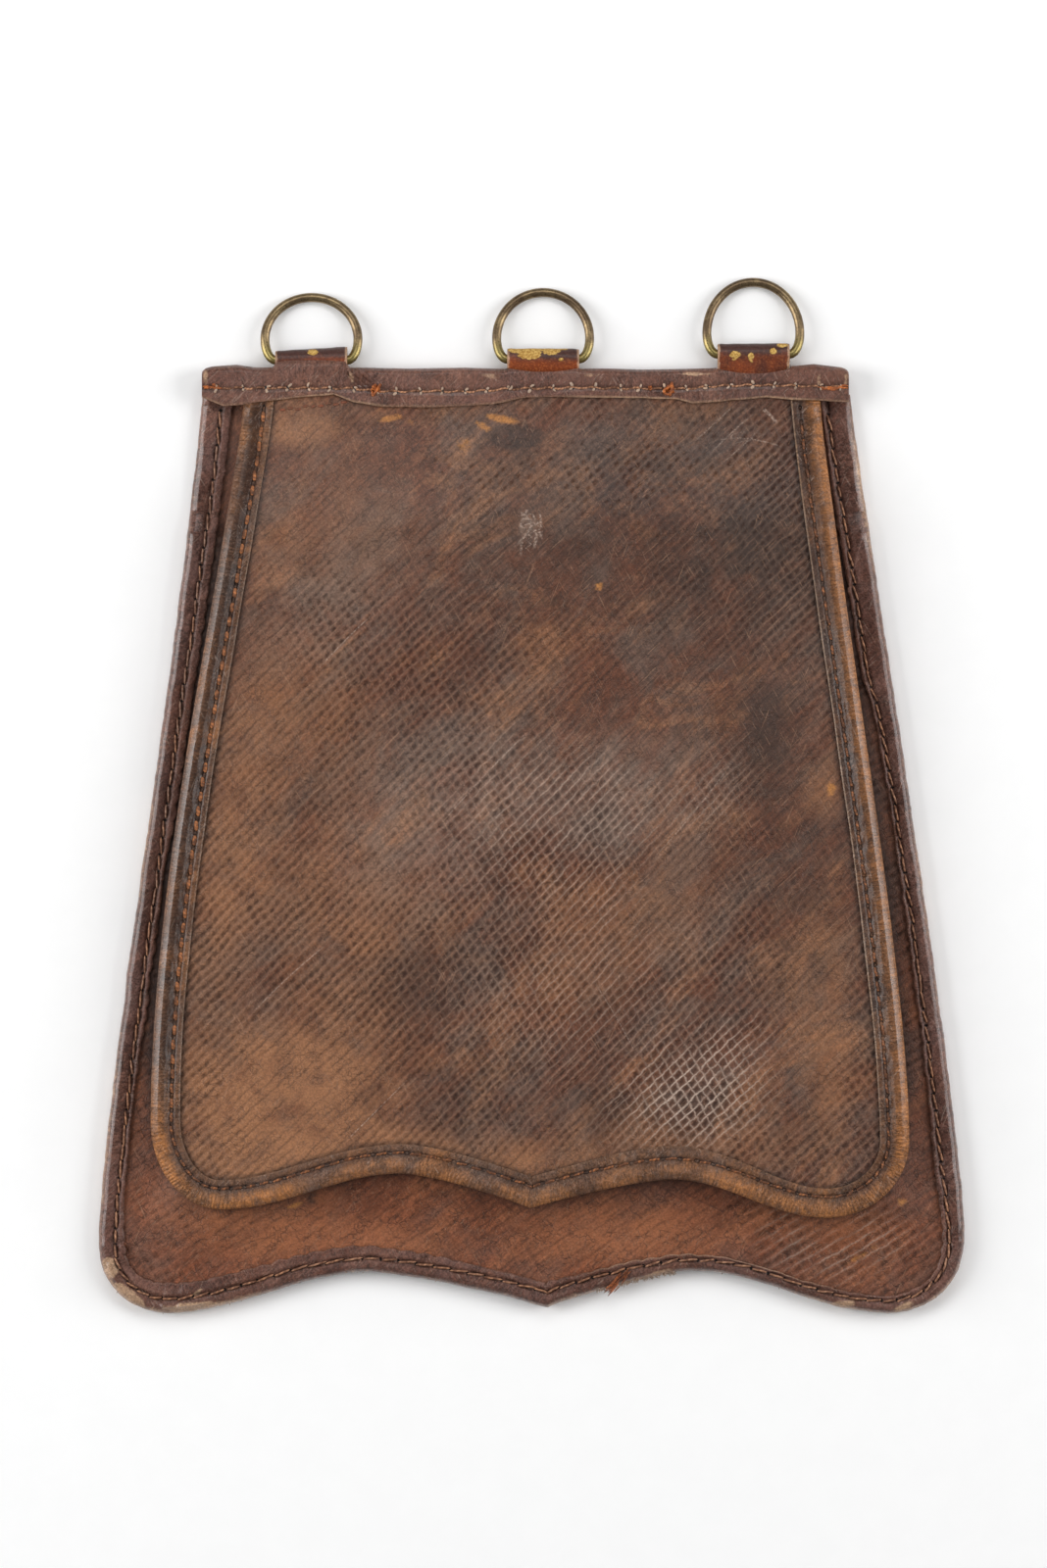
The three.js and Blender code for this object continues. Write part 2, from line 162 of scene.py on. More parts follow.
# Small rises and falls of the top binding's fold: x, rise
TOP_FOLD_RISE = np.array([
    (-107.2, -1.2), (-106.2, -0.2), (-104, 0.4), (-96, 1.0), (-90, 0.1), (-54, 0.0), (-40, -0.3),
    (-22, 0.0), (-12, -0.3), (27, -0.3), (36, -0.6), (54, -0.3), (86, 0.6), (92, 1.2),
    (97, 0.6), (101, 0.1), (102.4, -0.4), (103.2, -1.4),
])
# Depth of the top binding's stitch line below its fold: x, depth
TOP_STITCH_DROP = np.array([
    (-107.2, 7.0), (-60, 7.0), (-45, 8.0), (-20, 8.0), (-8, 7.2), (20, 6.7), (48, 7.2),
    (62, 6.2), (84, 6.0), (103.2, 6.6),
])
# The body binding: share of the way round from the top left corner, its width, and the distance
# of its stitch line from the outer edge
BODY_BAND = np.array([
    (0, 10.4, 6.6), (0.1, 9.0, 5.6), (0.2, 7.8, 5.3), (0.28, 7.6, 5.6), (0.31, 8.1, 5.7),
    (0.335, 9.0, 5.2), (0.36, 10.0, 4.9), (0.4, 9.2, 4.7), (0.44, 8.4, 4.7), (0.48, 8.0, 4.9),
    (0.5, 8.2, 5.0), (0.53, 6.8, 4.5), (0.56, 5.6, 3.7), (0.6, 5.2, 3.5), (0.64, 6.0, 4.1),
    (0.68, 7.2, 5.0), (0.71, 8.4, 6.0), (0.76, 7.4, 5.4), (0.85, 7.0, 5.2), (0.885, 8.3, 6.3),
    (0.895, 9.8, 7.4), (1, 10.4, 8.0),
])

# A place where the body binding's strip is lapped or tucked: its spot on the outer edge, how far
# it runs on for each millimetre inward, its height, and the length it sinks back over
Join = namedtuple("Join", "x y slant height length")
BODY_JOINS = [Join(*row) for row in (
    (109.6, 91.0, -2.4, 0.8, 9.0), (-137.6, -156.0, -1.2, 1.0, 5.0),
    (-121.0, -168.6, 0.2, 0.6, 6.0), (-115.5, -168.6, 0.3, 0.6, 8.0),
    (35.0, -159.0, 0.4, 0.4, 6.0),
)]

# A thin crease or scratch: its ends, how far it bends aside, its half width and strength
Line = namedtuple("Line", "x0 y0 x1 y1 bend half_width strength")
POUCH_CREASES = [Line(*row) for row in (
    (-28, -122, -2, -138, 0.6, 0.3, 0.45), (-33, -121, -8, -139, 0.8, 0.3, 0.35),
    (-22, -123, 3, -136, 0.5, 0.3, 0.35), (6, -120, 18, -133, 1.0, 0.3, 0.6),
    (14, -119, 27, -129, 0.8, 0.3, 0.5), (23, -119, 41, -134, 0.6, 0.3, 0.6),
    (31, -121, 52, -134, 0.5, 0.3, 0.55), (42, -125, 66, -137, -0.5, 0.35, 0.5),
    (-30, -147, -14, -128, 1.5, 0.3, 0.4), (-22, -147, -8, -129, 1.2, 0.3, 0.35),
    (52, -147, 78, -134, 1.0, 0.5, 0.4), (-96, -147, -70, -141, 0.8, 0.3, 0.3),
    (96, -147, 118, -132, -1.0, 0.6, 0.4),
)]
FLAP_SCRATCHES = [Line(*row) for row in (
    (53, 115, 66, 127, 0.0, 0.25, 0.3), (58, 111, 72, 124, 0.3, 0.25, 0.25),
    (62, 108, 74, 119, -0.3, 0.2, 0.25), (75, 126, 80, 121, 0.2, 0.5, 0.45),
    (62, 116, 82, 113, 1.2, 0.25, 0.25), (-3.6, 86, -1.2, 93, 0.4, 0.45, 0.42),
    (0.8, 80, 1.4, 89, -0.4, 0.4, 0.42), (-3.5, 78, -2.5, 84, 0.3, 0.4, 0.35),
    (-2.4, 91, 2.8, 84, 0.5, 0.4, 0.45), (2.4, 92.5, 3.4, 83, 0.3, 0.35, 0.4),
    (-4.2, 82, 0.4, 88.5, -0.5, 0.35, 0.4), (-70, 40, -50, 60, 0.5, 0.2, 0.35),
    (-30, -10, 0, 22, 0.5, 0.2, 0.3), (40, -20, 66, 12, -0.6, 0.2, 0.3),
    (-90, -70, -66, -48, 0.6, 0.2, 0.35), (-60, -112, -40, -92, 0.0, 0.2, 0.35),
    (20, -60, 34, -84, 0.4, 0.2, 0.25),
)]

# A patch of wear, stain, painted shade or painted highlight: what it does, its middle, half sizes,
# turn in degrees, strength
Mark = namedtuple("Mark", "effect x y half_width half_height turn strength")


def places(**groups):
    """Marks from rows of their numbers, grouped by what they do."""
    return [Mark(effect, *row) for effect, rows in groups.items() for row in rows]


FLAP_MARKS = places(
    soil=(
        (-37, -60, 20, 17, 20, 0.7), (75, 20, 13, 22, 0, 0.7), (25, -100, 10, 11, 0, 0.6),
        (-5, 116.5, 10, 4.5, 0, 1.7), (66, 94, 54, 48, 0, 0.8), (70, 60, 40, 40, 0, 0.3),
        (84, -26, 26, 46, 0, 0.4), (-4, 62, 40, 24, 30, 0.3), (10, 100, 40, 22, 0, 0.4),
        (-20, -96, 16, 24, -30, 0.3),
    ),
    tan=(
        (-98, -20, 18, 60, -10, 0.7), (-84, -104, 50, 40, 20, 1.25), (-60, -40, 34, 40, 45, 0.5),
        (-72, 26, 24, 40, 30, 0.4), (-36, -119, 46, 12, 0, 0.8), (30, -118, 60, 12, 5, 0.6),
        (-76, 120, 16, 8, 0, 0.8), (-66, 88, 34, 30, 30, 0.3), (95, 2, 8, 12, 0, 0.6),
        (96, -70, 10, 50, 0, 0.5), (30, -46, 44, 20, 40, 0.4),
    ),
    scuff=(
        (-46, 122.7, 6, 1.7, 10, 0.95), (-39.5, 121.4, 3, 2, -20, 0.62),
        (-9.4, 122.4, 8, 1.9, -12, 1.15), (-15.5, 120.0, 4.5, 1.8, -30, 1.0),
        (-22, 114, 4, 4, 0, 0.7), (21.8, 67.7, 2.2, 2.0, 0, 1.1), (97.0, 2, 2.2, 3.2, 0, 1.15),
        (5, -108, 1.8, 1.4, 30, 0.7),
    ),
    # Lighter places: the broad patch in the middle at (22, 2) and the one at the lower right at
    # (60, -92) are painted highlight
    pale=(
        (-0.6, 86, 3.5, 6, 15, 0.5), (22, 2, 46, 22, 0, 0.6), (-34, -8, 40, 30, 45, 0.6),
        (-66, 66, 40, 26, 30, 0.4), (60, -92, 26, 18, 35, 0.2),
    ),
    faded=(
        (-68, 106, 56, 42, 0, 0.8), (-88, 30, 22, 66, 0, 0.5), (-80, -100, 38, 32, 0, 0.65),
        (0, 120, 46, 12, 0, 0.5), (50, 118, 70, 14, 0, 0.2), (12, 82, 34, 30, 20, 0.7),
        (6, 32, 26, 24, 0, 0.5), (84, 32, 22, 26, 0, 0.4), (-34, -10, 30, 34, 0, 0.3),
        (48, -22, 24, 22, 0, 0.35), (88, -74, 22, 30, 0, 0.35), (50, 30, 36, 30, 0, 0.75),
        (90, -20, 24, 70, 5, 0.55), (72, 84, 36, 36, 0, 0.4), (0, -122, 90, 8, 0, 0.5),
    ),
    # Worn places, where the hatching's crests also get a painted highlight
    rubbed=(
        (56, -94, 36, 21, 24, 0.95), (20, 0, 60, 40, 20, 0.4), (20, -60, 50, 30, 30, 0.3),
    ),
)
POUCH_MARKS = places(
    tan=(
        (-96, -132, 34, 18, 0, 0.9), (-60, -146, 40, 10, 0, 0.7), (28, -142, 36, 12, 0, 0.8),
        (100, -138, 24, 14, 0, 0.6),
    ),
    scuff=(
        (-77, -133.5, 3.0, 1.7, 20, 1.3), (120.5, -132.5, 2.2, 2.0, 0, 1.3),
        (106, -151, 7, 1.6, 30, 0.8), (112, -147, 2, 2, 0, 0.7),
    ),
    # Dark stains, and two long strips down the sides, at x -122 and 122, that are painted shade in
    # the gaps beside the flap
    soil=(
        (-106, -127, 9, 5, 0, 0.6), (-72, -131, 1.6, 2.2, 0, 2.0),
        (19.5, -132.5, 1.5, 1.3, 0, 2.0), (-122, 0, 12, 110, 12, 0.4),
        (122, 0, 12, 110, -12, 0.15),
    ),
    rubbed=(
        (98, -144, 28, 16, 0, 0.5),
    ),
    faded=(
        (-90, -135, 60, 24, 0, 0.55), (0, -140, 70, 26, 0, 0.95),
    ),
)
# Worn places along the body binding
BODY_BAND_MARKS = places(
    worn=(
        (-121, -30, 8, 60, 12, 0.5), (-138, -110, 8, 40, 0, 0.5), (-128, -160, 16, 14, 40, 0.9),
        (-95, -167, 30, 7, 0, 0.9), (128, -160, 16, 14, -40, 0.9), (95, -167, 26, 7, 0, 0.8),
        (30, -163, 40, 6, 10, 0.9), (106, 96, 8, 30, 0, 0.7), (124, -40, 8, 60, -10, 0.4),
    ),
    scuff=(
        (-137, -153.5, 3.6, 4.2, 30, 1.2), (-131, -163, 9, 2.8, -38, 1.1),
        (-108, -167, 17, 2.6, 2, 1.15), (-109, -162, 3.2, 1.0, 40, 0.9),
        (99, -166.5, 9, 2.4, 10, 1.0), (121, -166.8, 5, 1.8, 25, 0.9),
        (107.4, 105, 2.0, 8, 8, 0.95), (109.6, 93, 1.6, 4, 8, 0.9),
        (28, -161.0, 8, 1.8, 22, 1.25), (40, -156.4, 9, 1.5, 18, 1.2),
    ),
)
# Worn places of the top binding, with the depth below its fold in place of y
TOP_BAND_MARKS = places(
    scuff=(
        (53, 2.3, 7.5, 0.9, 0, 0.85), (-58.5, 3.5, 1.2, 3.0, -20, 0.75),
        (-13, 3.0, 5, 1.2, 10, 0.6), (20, 2.6, 4, 1.2, 0, 0.6), (93.5, 4.5, 1.2, 3.5, 0, 0.7),
        (-106, 4, 1.5, 5, 0, 0.7), (102.5, 4, 1.5, 4, 0, 0.7),
    ),
)
# Spots of flaked paint on each ring loop: distance across from its middle, y, half sizes
PAINT_FLAKES = {
    "left": [(0.5, 144.2, 2.4, 1.3)],
    "middle": [
        (-0.8, 146.0, 12.5, 2.0), (-4.4, 143.6, 5.2, 2.3), (-9.0, 145.2, 3.0, 1.6),
        (2.6, 144.4, 3.6, 1.5), (5.8, 141.9, 1.2, 0.9),
    ],
    "right": [
        (-6.2, 143.4, 2.3, 1.6), (-0.8, 143.0, 1.3, 1.4), (6.3, 144.6, 1.6, 1.3),
        (9.4, 146.6, 2.4, 1.0),
    ],
}

# The photograph's frame at the floor: its height, and the place of its middle
FRAME_HEIGHT = 512.0
FRAME_MIDDLE = (-2.6, 3.7)
CAMERA_HEIGHT = 2400.0
SENSOR = 36.0


# Curves and fields


def smoothstep(value, start, end):
    """0 before start, 1 after end, and a smooth rise between them."""
    share = np.clip((value - start) / (end - start), 0, 1)
    return share * share * (3 - 2 * share)


def lumps(x, y, size, seed):
    """Smooth lumps of about that size, between about -1 and 1."""
    spots = zip(np.ravel(x) / size, np.ravel(y) / size)
    flat = [noise.noise((a, b, seed + 0.37)) for a, b in spots]
    return np.reshape(flat, np.shape(x))


def bell(value, middle, width, power=2):
    """1 at the middle, falling away to both sides over about that width."""
    return np.exp(-((value - middle) / width) ** power)


def patch(mark, x, y):
    """How strongly a mark covers each place, fading out at its border."""
    turn = math.radians(mark.turn)
    dx, dy = x - mark.x, y - mark.y
    across = (dx * math.cos(turn) + dy * math.sin(turn)) / mark.half_width
    up = (dy * math.cos(turn) - dx * math.sin(turn)) / mark.half_height
    return mark.strength * smoothstep(np.hypot(across, up), 1.25, 0.25)


def cover(marks, effect, x, y):
    """All marks of one effect together, from 0 to 1."""
    total = np.zeros(np.shape(x))
    for mark in marks:
        if mark.effect == effect:
            total = total + patch(mark, x, y)
    return np.clip(total, 0, 1)


def half_edge(side, sign, point):
    """Half of an outline, from the top edge down to the middle point."""
    time = np.linspace(0, 1, 160)[:, None]
    pulls = np.array([
        (side.top, TOP_Y), (side.top, TOP_Y - side.top_pull),
        (side.wide, side.wide_y + side.low_pull), (side.wide, side.wide_y),
    ])
    weights = np.hstack([
        (1 - time) ** 3, 3 * time * (1 - time) ** 2, 3 * time ** 2 * (1 - time), time ** 3,
    ])
    turn = np.linspace(0, -math.pi / 2, 40)[1:]
    lobe = np.column_stack([
        side.lobe + (side.wide - side.lobe) * np.cos(turn),
        side.wide_y + (side.wide_y - side.lobe_y) * np.sin(turn),
    ])
    share = np.linspace(0, 1, 80)[1:]
    swell = np.column_stack([
        side.lobe + (side.arch - side.lobe) * share,
        side.lobe_y + (side.arch_y - side.lobe_y) * (1 - np.cos(math.pi * share)) / 2,
    ])
    fall = np.column_stack([
        side.arch + (sign * point[0] - side.arch) * share,
        side.arch_y + (point[1] - side.arch_y) * share ** POINT_FALL,
    ])
    return np.vstack([weights @ pulls, lobe, swell, fall]) * (sign, 1)


def evenly(points, step):
    """A line through the same points with even steps, and the way along it at each step."""
    way = np.concatenate([[0], np.cumsum(np.linalg.norm(np.diff(points, axis=0), axis=1))])
    stops = np.linspace(0, way[-1], max(2, round(way[-1] / step) + 1))
    return np.column_stack([np.interp(stops, way, column) for column in points.T]), stops


class Edge:
    """An outline from the top left corner round the bottom to the top right corner, at even
    steps, with its inward direction and the way round at each of them."""

    EASE = 5.0  # the inward direction is evened out over this length

    def __init__(self, shield, step, top=TOP_Y):
        left = half_edge(shield.left, -1, shield.point)
        right = half_edge(shield.right, 1, shield.point)[::-1][1:]
        line = np.vstack([left, right])
        self.points, self.way = evenly(line[line[:, 1] <= top], step)
        self.step = self.way[1]
        along = np.gradient(self.points, axis=0)
        inward = np.column_stack([-along[:, 1], along[:, 0]])
        inward /= np.linalg.norm(inward, axis=1, keepdims=True)
        self.square = inward
        reach = math.ceil(self.EASE / self.step)
        window = np.hanning(2 * reach + 3)[1:-1]
        eased = [
            np.convolve(np.pad(column, reach, mode="edge"), window / window.sum(), "valid")
            for column in inward.T
        ]
        self.inward = np.column_stack(eased)
        self.inward /= np.linalg.norm(self.inward, axis=1, keepdims=True)
        self.tree = kdtree.KDTree(len(self.points))
        for index, (x, y) in enumerate(self.points):
            self.tree.insert((x, y, 0), index)
        self.tree.balance()

    def nearest(self, x, y):
        """For each place, the index of the nearest step of the outline."""
        places = zip(np.ravel(x), np.ravel(y))
        found = [self.tree.find((a, b, 0))[1] for a, b in places]
        return np.reshape(found, np.shape(x))

    def depth(self, x, y):
        """For each place, the distance in from the outline, negative outside it."""
        index = self.nearest(x, y)
        dx = x - self.points[index, 0]
        dy = y - self.points[index, 1]
        return dx * self.square[index, 0] + dy * self.square[index, 1]

    def spot(self, way, inset):
        """The place that lies so far round the outline and so far in from it."""
        corners = [np.interp(way, self.way, column) for column in self.points.T]
        inward = [np.interp(way, self.way, column) for column in self.inward.T]
        return corners[0] + inset * inward[0], corners[1] + inset * inward[1]

    def way_at(self, x, y):
        """The way round to the step nearest to a place."""
        return self.way[self.tree.find((x, y, 0))[1]]


# Heights of the leather


def top_dip(x):
    """How far the top edge sinks between the ring loops, where no tongue fills it."""
    dip = np.ones(np.shape(x))
    for ring in RINGS.values():
        dip = np.minimum(dip, smoothstep(np.abs(x - ring.x), 12.5, 20))
    return 0.9 * dip


def flap_underside(x, y):
    """Height of the flap's underside."""
    climb = smoothstep(-y, TOP_BAND - TOP_Y, -MOUTH_Y)
    side = FLAP_SIDE_DROOP * np.clip(np.abs(x) / FLAP.left.wide, 0, 1) ** 2
    tail = FLAP_TAIL_DROOP * smoothstep(TAIL_FROM_Y - y, 0, TAIL_LENGTH)
    sunk = top_dip(x) * smoothstep(y, 96, 126)
    return FLAP_Z + climb * (FLAP_RISE - side - tail) - sunk


def flap_top(x, y):
    """Height of the flap's face, with the slow waves of old leather."""
    waves = 0.3 * lumps(x, y, 46, 3) + 0.12 * lumps(x, y, 15, 4)
    return flap_underside(x, y) + PANEL + waves * smoothstep(-y, -124, -108)


def pouch_underside(edge, x, y):
    """Height of the pouch front's underside, from its distance in from the body outline."""
    turns = np.linspace(0, 2 * math.pi, 10, endpoint=False)
    spots = [(x + POUCH_EASE * math.cos(a), y + POUCH_EASE * math.sin(a)) for a in turns]
    rises = [smoothstep(edge.depth(*spot), SEAM, SEAM + POUCH_SLOPE) for spot in spots]
    return FRONT_Z + POUCH_RISE * np.mean(rises, axis=0)


def line_marks(lines, x, y):
    """Marks for thin lines on a sheet: the distance from the nearest one as a share of its half
    width, with a sign, and its strength."""
    near = np.full(np.shape(x), np.inf)
    off_share = np.full(np.shape(x), 9.0)
    strength = np.zeros(np.shape(x))
    for line in lines:
        along = np.array((line.x1 - line.x0, line.y1 - line.y0))
        length = np.linalg.norm(along)
        along = along / length
        dx, dy = x - line.x0, y - line.y0
        run = (dx * along[0] + dy * along[1]) / length
        off = dy * along[0] - dx * along[1] - line.bend * 4 * run * (1 - run)
        away = np.hypot(off, length * np.maximum(0, np.maximum(-run, run - 1)))
        closer = away < near
        ends = smoothstep(run, -0.05, 0.2) * smoothstep(run, 1.05, 0.8) * smoothstep(away, 3.6, 2.2)
        near = np.where(closer, away, near)
        off_share = np.where(closer, off / line.half_width, off_share)
        strength = np.where(closer, line.strength * ends, strength)
    return {"line": off_share, "line_share": strength}


# Meshes


def placed(points):
    """Points in millimetres as places of the frame, in metres."""
    return ((np.asarray(points, float) + (0, Y_SHIFT, 0)) * MM).tolist()


def set_marks(mesh, marks):
    """Store marks on a mesh, a number or a vector for each of its points."""
    for label, values in marks.items():
        values = np.asarray(values, np.float32)
        kind, field = ("FLOAT_VECTOR", "vector") if values.ndim == 2 else ("FLOAT", "value")
        mesh.attributes.new(label, kind, "POINT").data.foreach_set(field, values.ravel())


def make_piece(name, points, faces, material, body, replaced=(), marks=None, crisp=42):
    """An object of the sabretache from points in millimetres, riding on a body of the frame. Its
    edges stay crisp where they bend by more than so many degrees."""
    mesh = bpy.data.meshes.new(name)
    mesh.from_pydata(placed(points), [], [list(map(int, face)) for face in faces])
    set_marks(mesh, marks or {})
    solid = bmesh.new()
    solid.from_mesh(mesh)
    bmesh.ops.recalc_face_normals(solid, faces=solid.faces)
    solid.to_mesh(mesh)
    solid.free()
    mesh.polygons.foreach_set("use_smooth", np.ones(len(mesh.polygons), bool))
    mesh.set_sharp_from_angle(angle=math.radians(crisp))
    mesh.materials.append(material)
    piece = bpy.data.objects.new(name, mesh)
    bpy.context.scene.collection.objects.link(piece)
    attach(piece, body)
    if replaced:
        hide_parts(*replaced)
    return piece


def make_joined(name, parts, material):
    """One piece on the bag from several small meshes."""
    points, faces, marks = joined(parts)
    make_piece(name, points, faces, material, "bag", marks=marks)


def make_sheet(name, lattice, low, high, material, node, marks):
    """A closed leather sheet over a lattice, between two heights, marked alike on both sides."""
    x, y, _, quads, rim = lattice
    count = len(x)
    points = np.vstack([np.column_stack([x, y, high]), np.column_stack([x, y, low])])
    start, end = rim.T
    walls = np.column_stack([end, start, start + count, end + count])
    faces = np.vstack([quads, quads[:, ::-1] + count, walls])
    marks = {label: np.concatenate([values, values]) for label, values in marks.items()}
    return make_piece(name, points, faces, material, "bag", [node], marks)


def joined(parts):
    """Several meshes as one: parts are (points, faces, marks) and all have the same marks."""
    points, faces, marks, start = [], [], {}, 0
    for part_points, part_faces, part_marks in parts:
        points.append(part_points)
        faces.extend([index + start for index in face] for face in part_faces)
        for label, values in part_marks.items():
            marks.setdefault(label, []).append(values)
        start += len(part_points)
    return np.vstack(points), faces, {label: np.concatenate(v) for label, v in marks.items()}


def band_faces(stations, count, closed=False):
    """Faces of a skin swept through stations of count points each, capped unless it closes."""
    rows = np.arange(stations if closed else stations - 1)
    i, j = np.meshgrid(rows, np.arange(count), indexing="ij")
    here, there = i * count, ((i + 1) % stations) * count
    turn = (j + 1) % count
    quads = np.stack([here + j, here + turn, there + turn, there + j], -1).reshape(-1, 4).tolist()
    if closed:
        return quads
    first = list(range(count))[::-1]
    last = list(range((stations - 1) * count, stations * count))
    return quads + [first, last]


def tube(path, wide, high, sides=8, closed=False):
    """Points and faces of a thread or wire along a path, with its half width and half height."""
    path = np.asarray(path, float)
    if closed:
        along = np.roll(path, -1, 0) - np.roll(path, 1, 0)
    else:
        along = np.gradient(path, axis=0)
    along /= np.linalg.norm(along, axis=1, keepdims=True)
    side = np.cross((0, 0, 1), along)
    side /= np.maximum(np.linalg.norm(side, axis=1, keepdims=True), 1e-6)
    up = np.cross(along, side)
    angle = np.linspace(0, 2 * math.pi, sides, endpoint=False)
    wide = np.broadcast_to(wide, len(path))[:, None, None]
    high = np.broadcast_to(high, len(path))[:, None, None]
    ring = path[:, None] + side[:, None] * wide * np.cos(angle)[:, None]
    ring = ring + up[:, None] * high * np.sin(angle)[:, None]
    return ring.reshape(-1, 3), band_faces(len(path), sides, closed)


def hatch_lattice(edge, top_y, turns, pitches, steps, seed):
    """One layer of a leather sheet whose rows follow the lines of the hatching, so that the
    hatching is part of its shape. Gives x, y, the count of lines of both sets at each point,
    the faces, and the rim as pairs of points."""
    margin, least_room = 25, 0.3
    across = np.column_stack([-np.sin(turns), np.cos(turns)])
    low, high = edge.points.min(0) - margin, edge.points.max(0) + margin
    corners = np.array([(x, y) for x in (low[0], high[0]) for y in (low[1], high[1])])
    reach = corners @ across.T / pitches
    counts = [
        np.arange(math.floor(a * step), math.ceil(b * step) + 1) / step
        for a, b, step in zip(reach.min(0), reach.max(0), steps)
    ]
    lines = np.stack(np.meshgrid(*counts, indexing="ij"), -1)
    spots = (lines * pitches) @ np.linalg.inv(across).T
    x, y = spots[..., 0], spots[..., 1]
    sway = 1.6 * np.sin(y / 41 + seed) + 1.1 * np.sin(x / 27 - y / 60 + 2 * seed)
    jitter = 0.45 * lumps(x, y, 9, seed) + 0.3 * lumps(x, y, 4, seed + 5)
    x, y = x + sway + jitter, y - 0.8 * sway + 0.4 * lumps(x, y, 8, seed + 9)

    inside = np.minimum(edge.depth(x, y) - EDGE_INSET, top_y - y) > least_room
    kept = inside[:-1, :-1] & inside[1:, :-1] & inside[1:, 1:] & inside[:-1, 1:]
    index = np.arange(x.size).reshape(x.shape)
    quads = np.stack([index[:-1, :-1], index[1:, :-1], index[1:, 1:], index[:-1, 1:]], -1)[kept]
    used, quads = np.unique(quads, return_inverse=True)
    quads = quads.reshape(-1, 4)
    x, y, lines = x.ravel()[used], y.ravel()[used], lines.reshape(-1, 2)[used]

    starts, ends = quads.ravel(), np.roll(quads, -1, 1).ravel()
    forward, backward = starts * len(used) + ends, ends * len(used) + starts
    lone = ~np.isin(forward, backward)
    rim = np.column_stack([starts[lone], ends[lone]])
    border = np.unique(rim)
    nearest = edge.nearest(x[border], y[border])
    home = edge.points[nearest] + EDGE_INSET * edge.square[nearest]
    at_top = top_y - y[border] < np.hypot(home[:, 0] - x[border], home[:, 1] - y[border])
    x[border] = np.where(at_top, x[border], home[:, 0])
    y[border] = np.where(at_top, top_y, np.minimum(home[:, 1], top_y))
    return x, y, lines, quads, rim


def hatch_ridge(lines):
    """1 on the lines of the hatching, 0 in the pits between them."""
    off = np.abs(lines - np.round(lines))
    return np.max(smoothstep(off, 0.34, 0.02), axis=1)


# Bindings

TOP_STOPS, BEND_STOPS, BACK_STOPS = 22, 9, 8
HIDDEN_EDGE = 0.3  # the edge mark of a binding's back and inner side, neither cut nor rubbed
RIB_PITCH = 1.3


def binding_section(width, low, high):
    """A folded binding's section at each station, as distances in from the outer edge and as
    heights: its face from the cut edge to the bend, the bend, its back, and its inner side."""
    width, low, high = (np.atleast_1d(np.asarray(v, float))[:, None] for v in (width, low, high))
    share = np.linspace(1, 0, TOP_STOPS)[None]
    back_share = np.linspace(0, 1, BACK_STOPS)[None]
    angle = np.linspace(math.pi / 2, -math.pi / 2, BEND_STOPS + 2)[None, 1:-1]
    half, middle = (high - low) / 2, (high + low) / 2
    flat = np.ones_like(low)
    inward = np.hstack([
        BAND_BEND + share * (width - BAND_BEND),
        BAND_BEND * (1 - np.cos(angle)) * flat,
        BAND_BEND + back_share * (width - BAND_BEND),
        width, STRIP * flat, STRIP * flat, width,
    ])
    height = np.hstack([
        high + 0 * share, middle + half * np.sin(angle), low + 0 * back_share,
        low + STRIP, low + STRIP, high - STRIP, high - STRIP,
    ])
    return inward, height


def rim_share(inward, width):
    """0 at a binding's cut edge, 1 at its outer edge."""
    return np.clip(1 - inward / np.atleast_1d(width)[:, None], 0, 1)


def on_face(values, fill=0.0):
    """Values of a section with those of the back and the inner side set to a fill."""
    values = np.array(values)
    values[:, TOP_STOPS + BEND_STOPS:] = fill
    return values


def sweep(edge_points, edge_inward, inward, height):
    """Points and faces of a binding section swept along an outline."""
    x = edge_points[:, :1] + edge_inward[:, :1] * inward
    y = edge_points[:, 1:] + edge_inward[:, 1:] * inward
    points = np.stack([x, y, height], -1).reshape(-1, 3)
    return points, band_faces(*inward.shape)


# Node trees


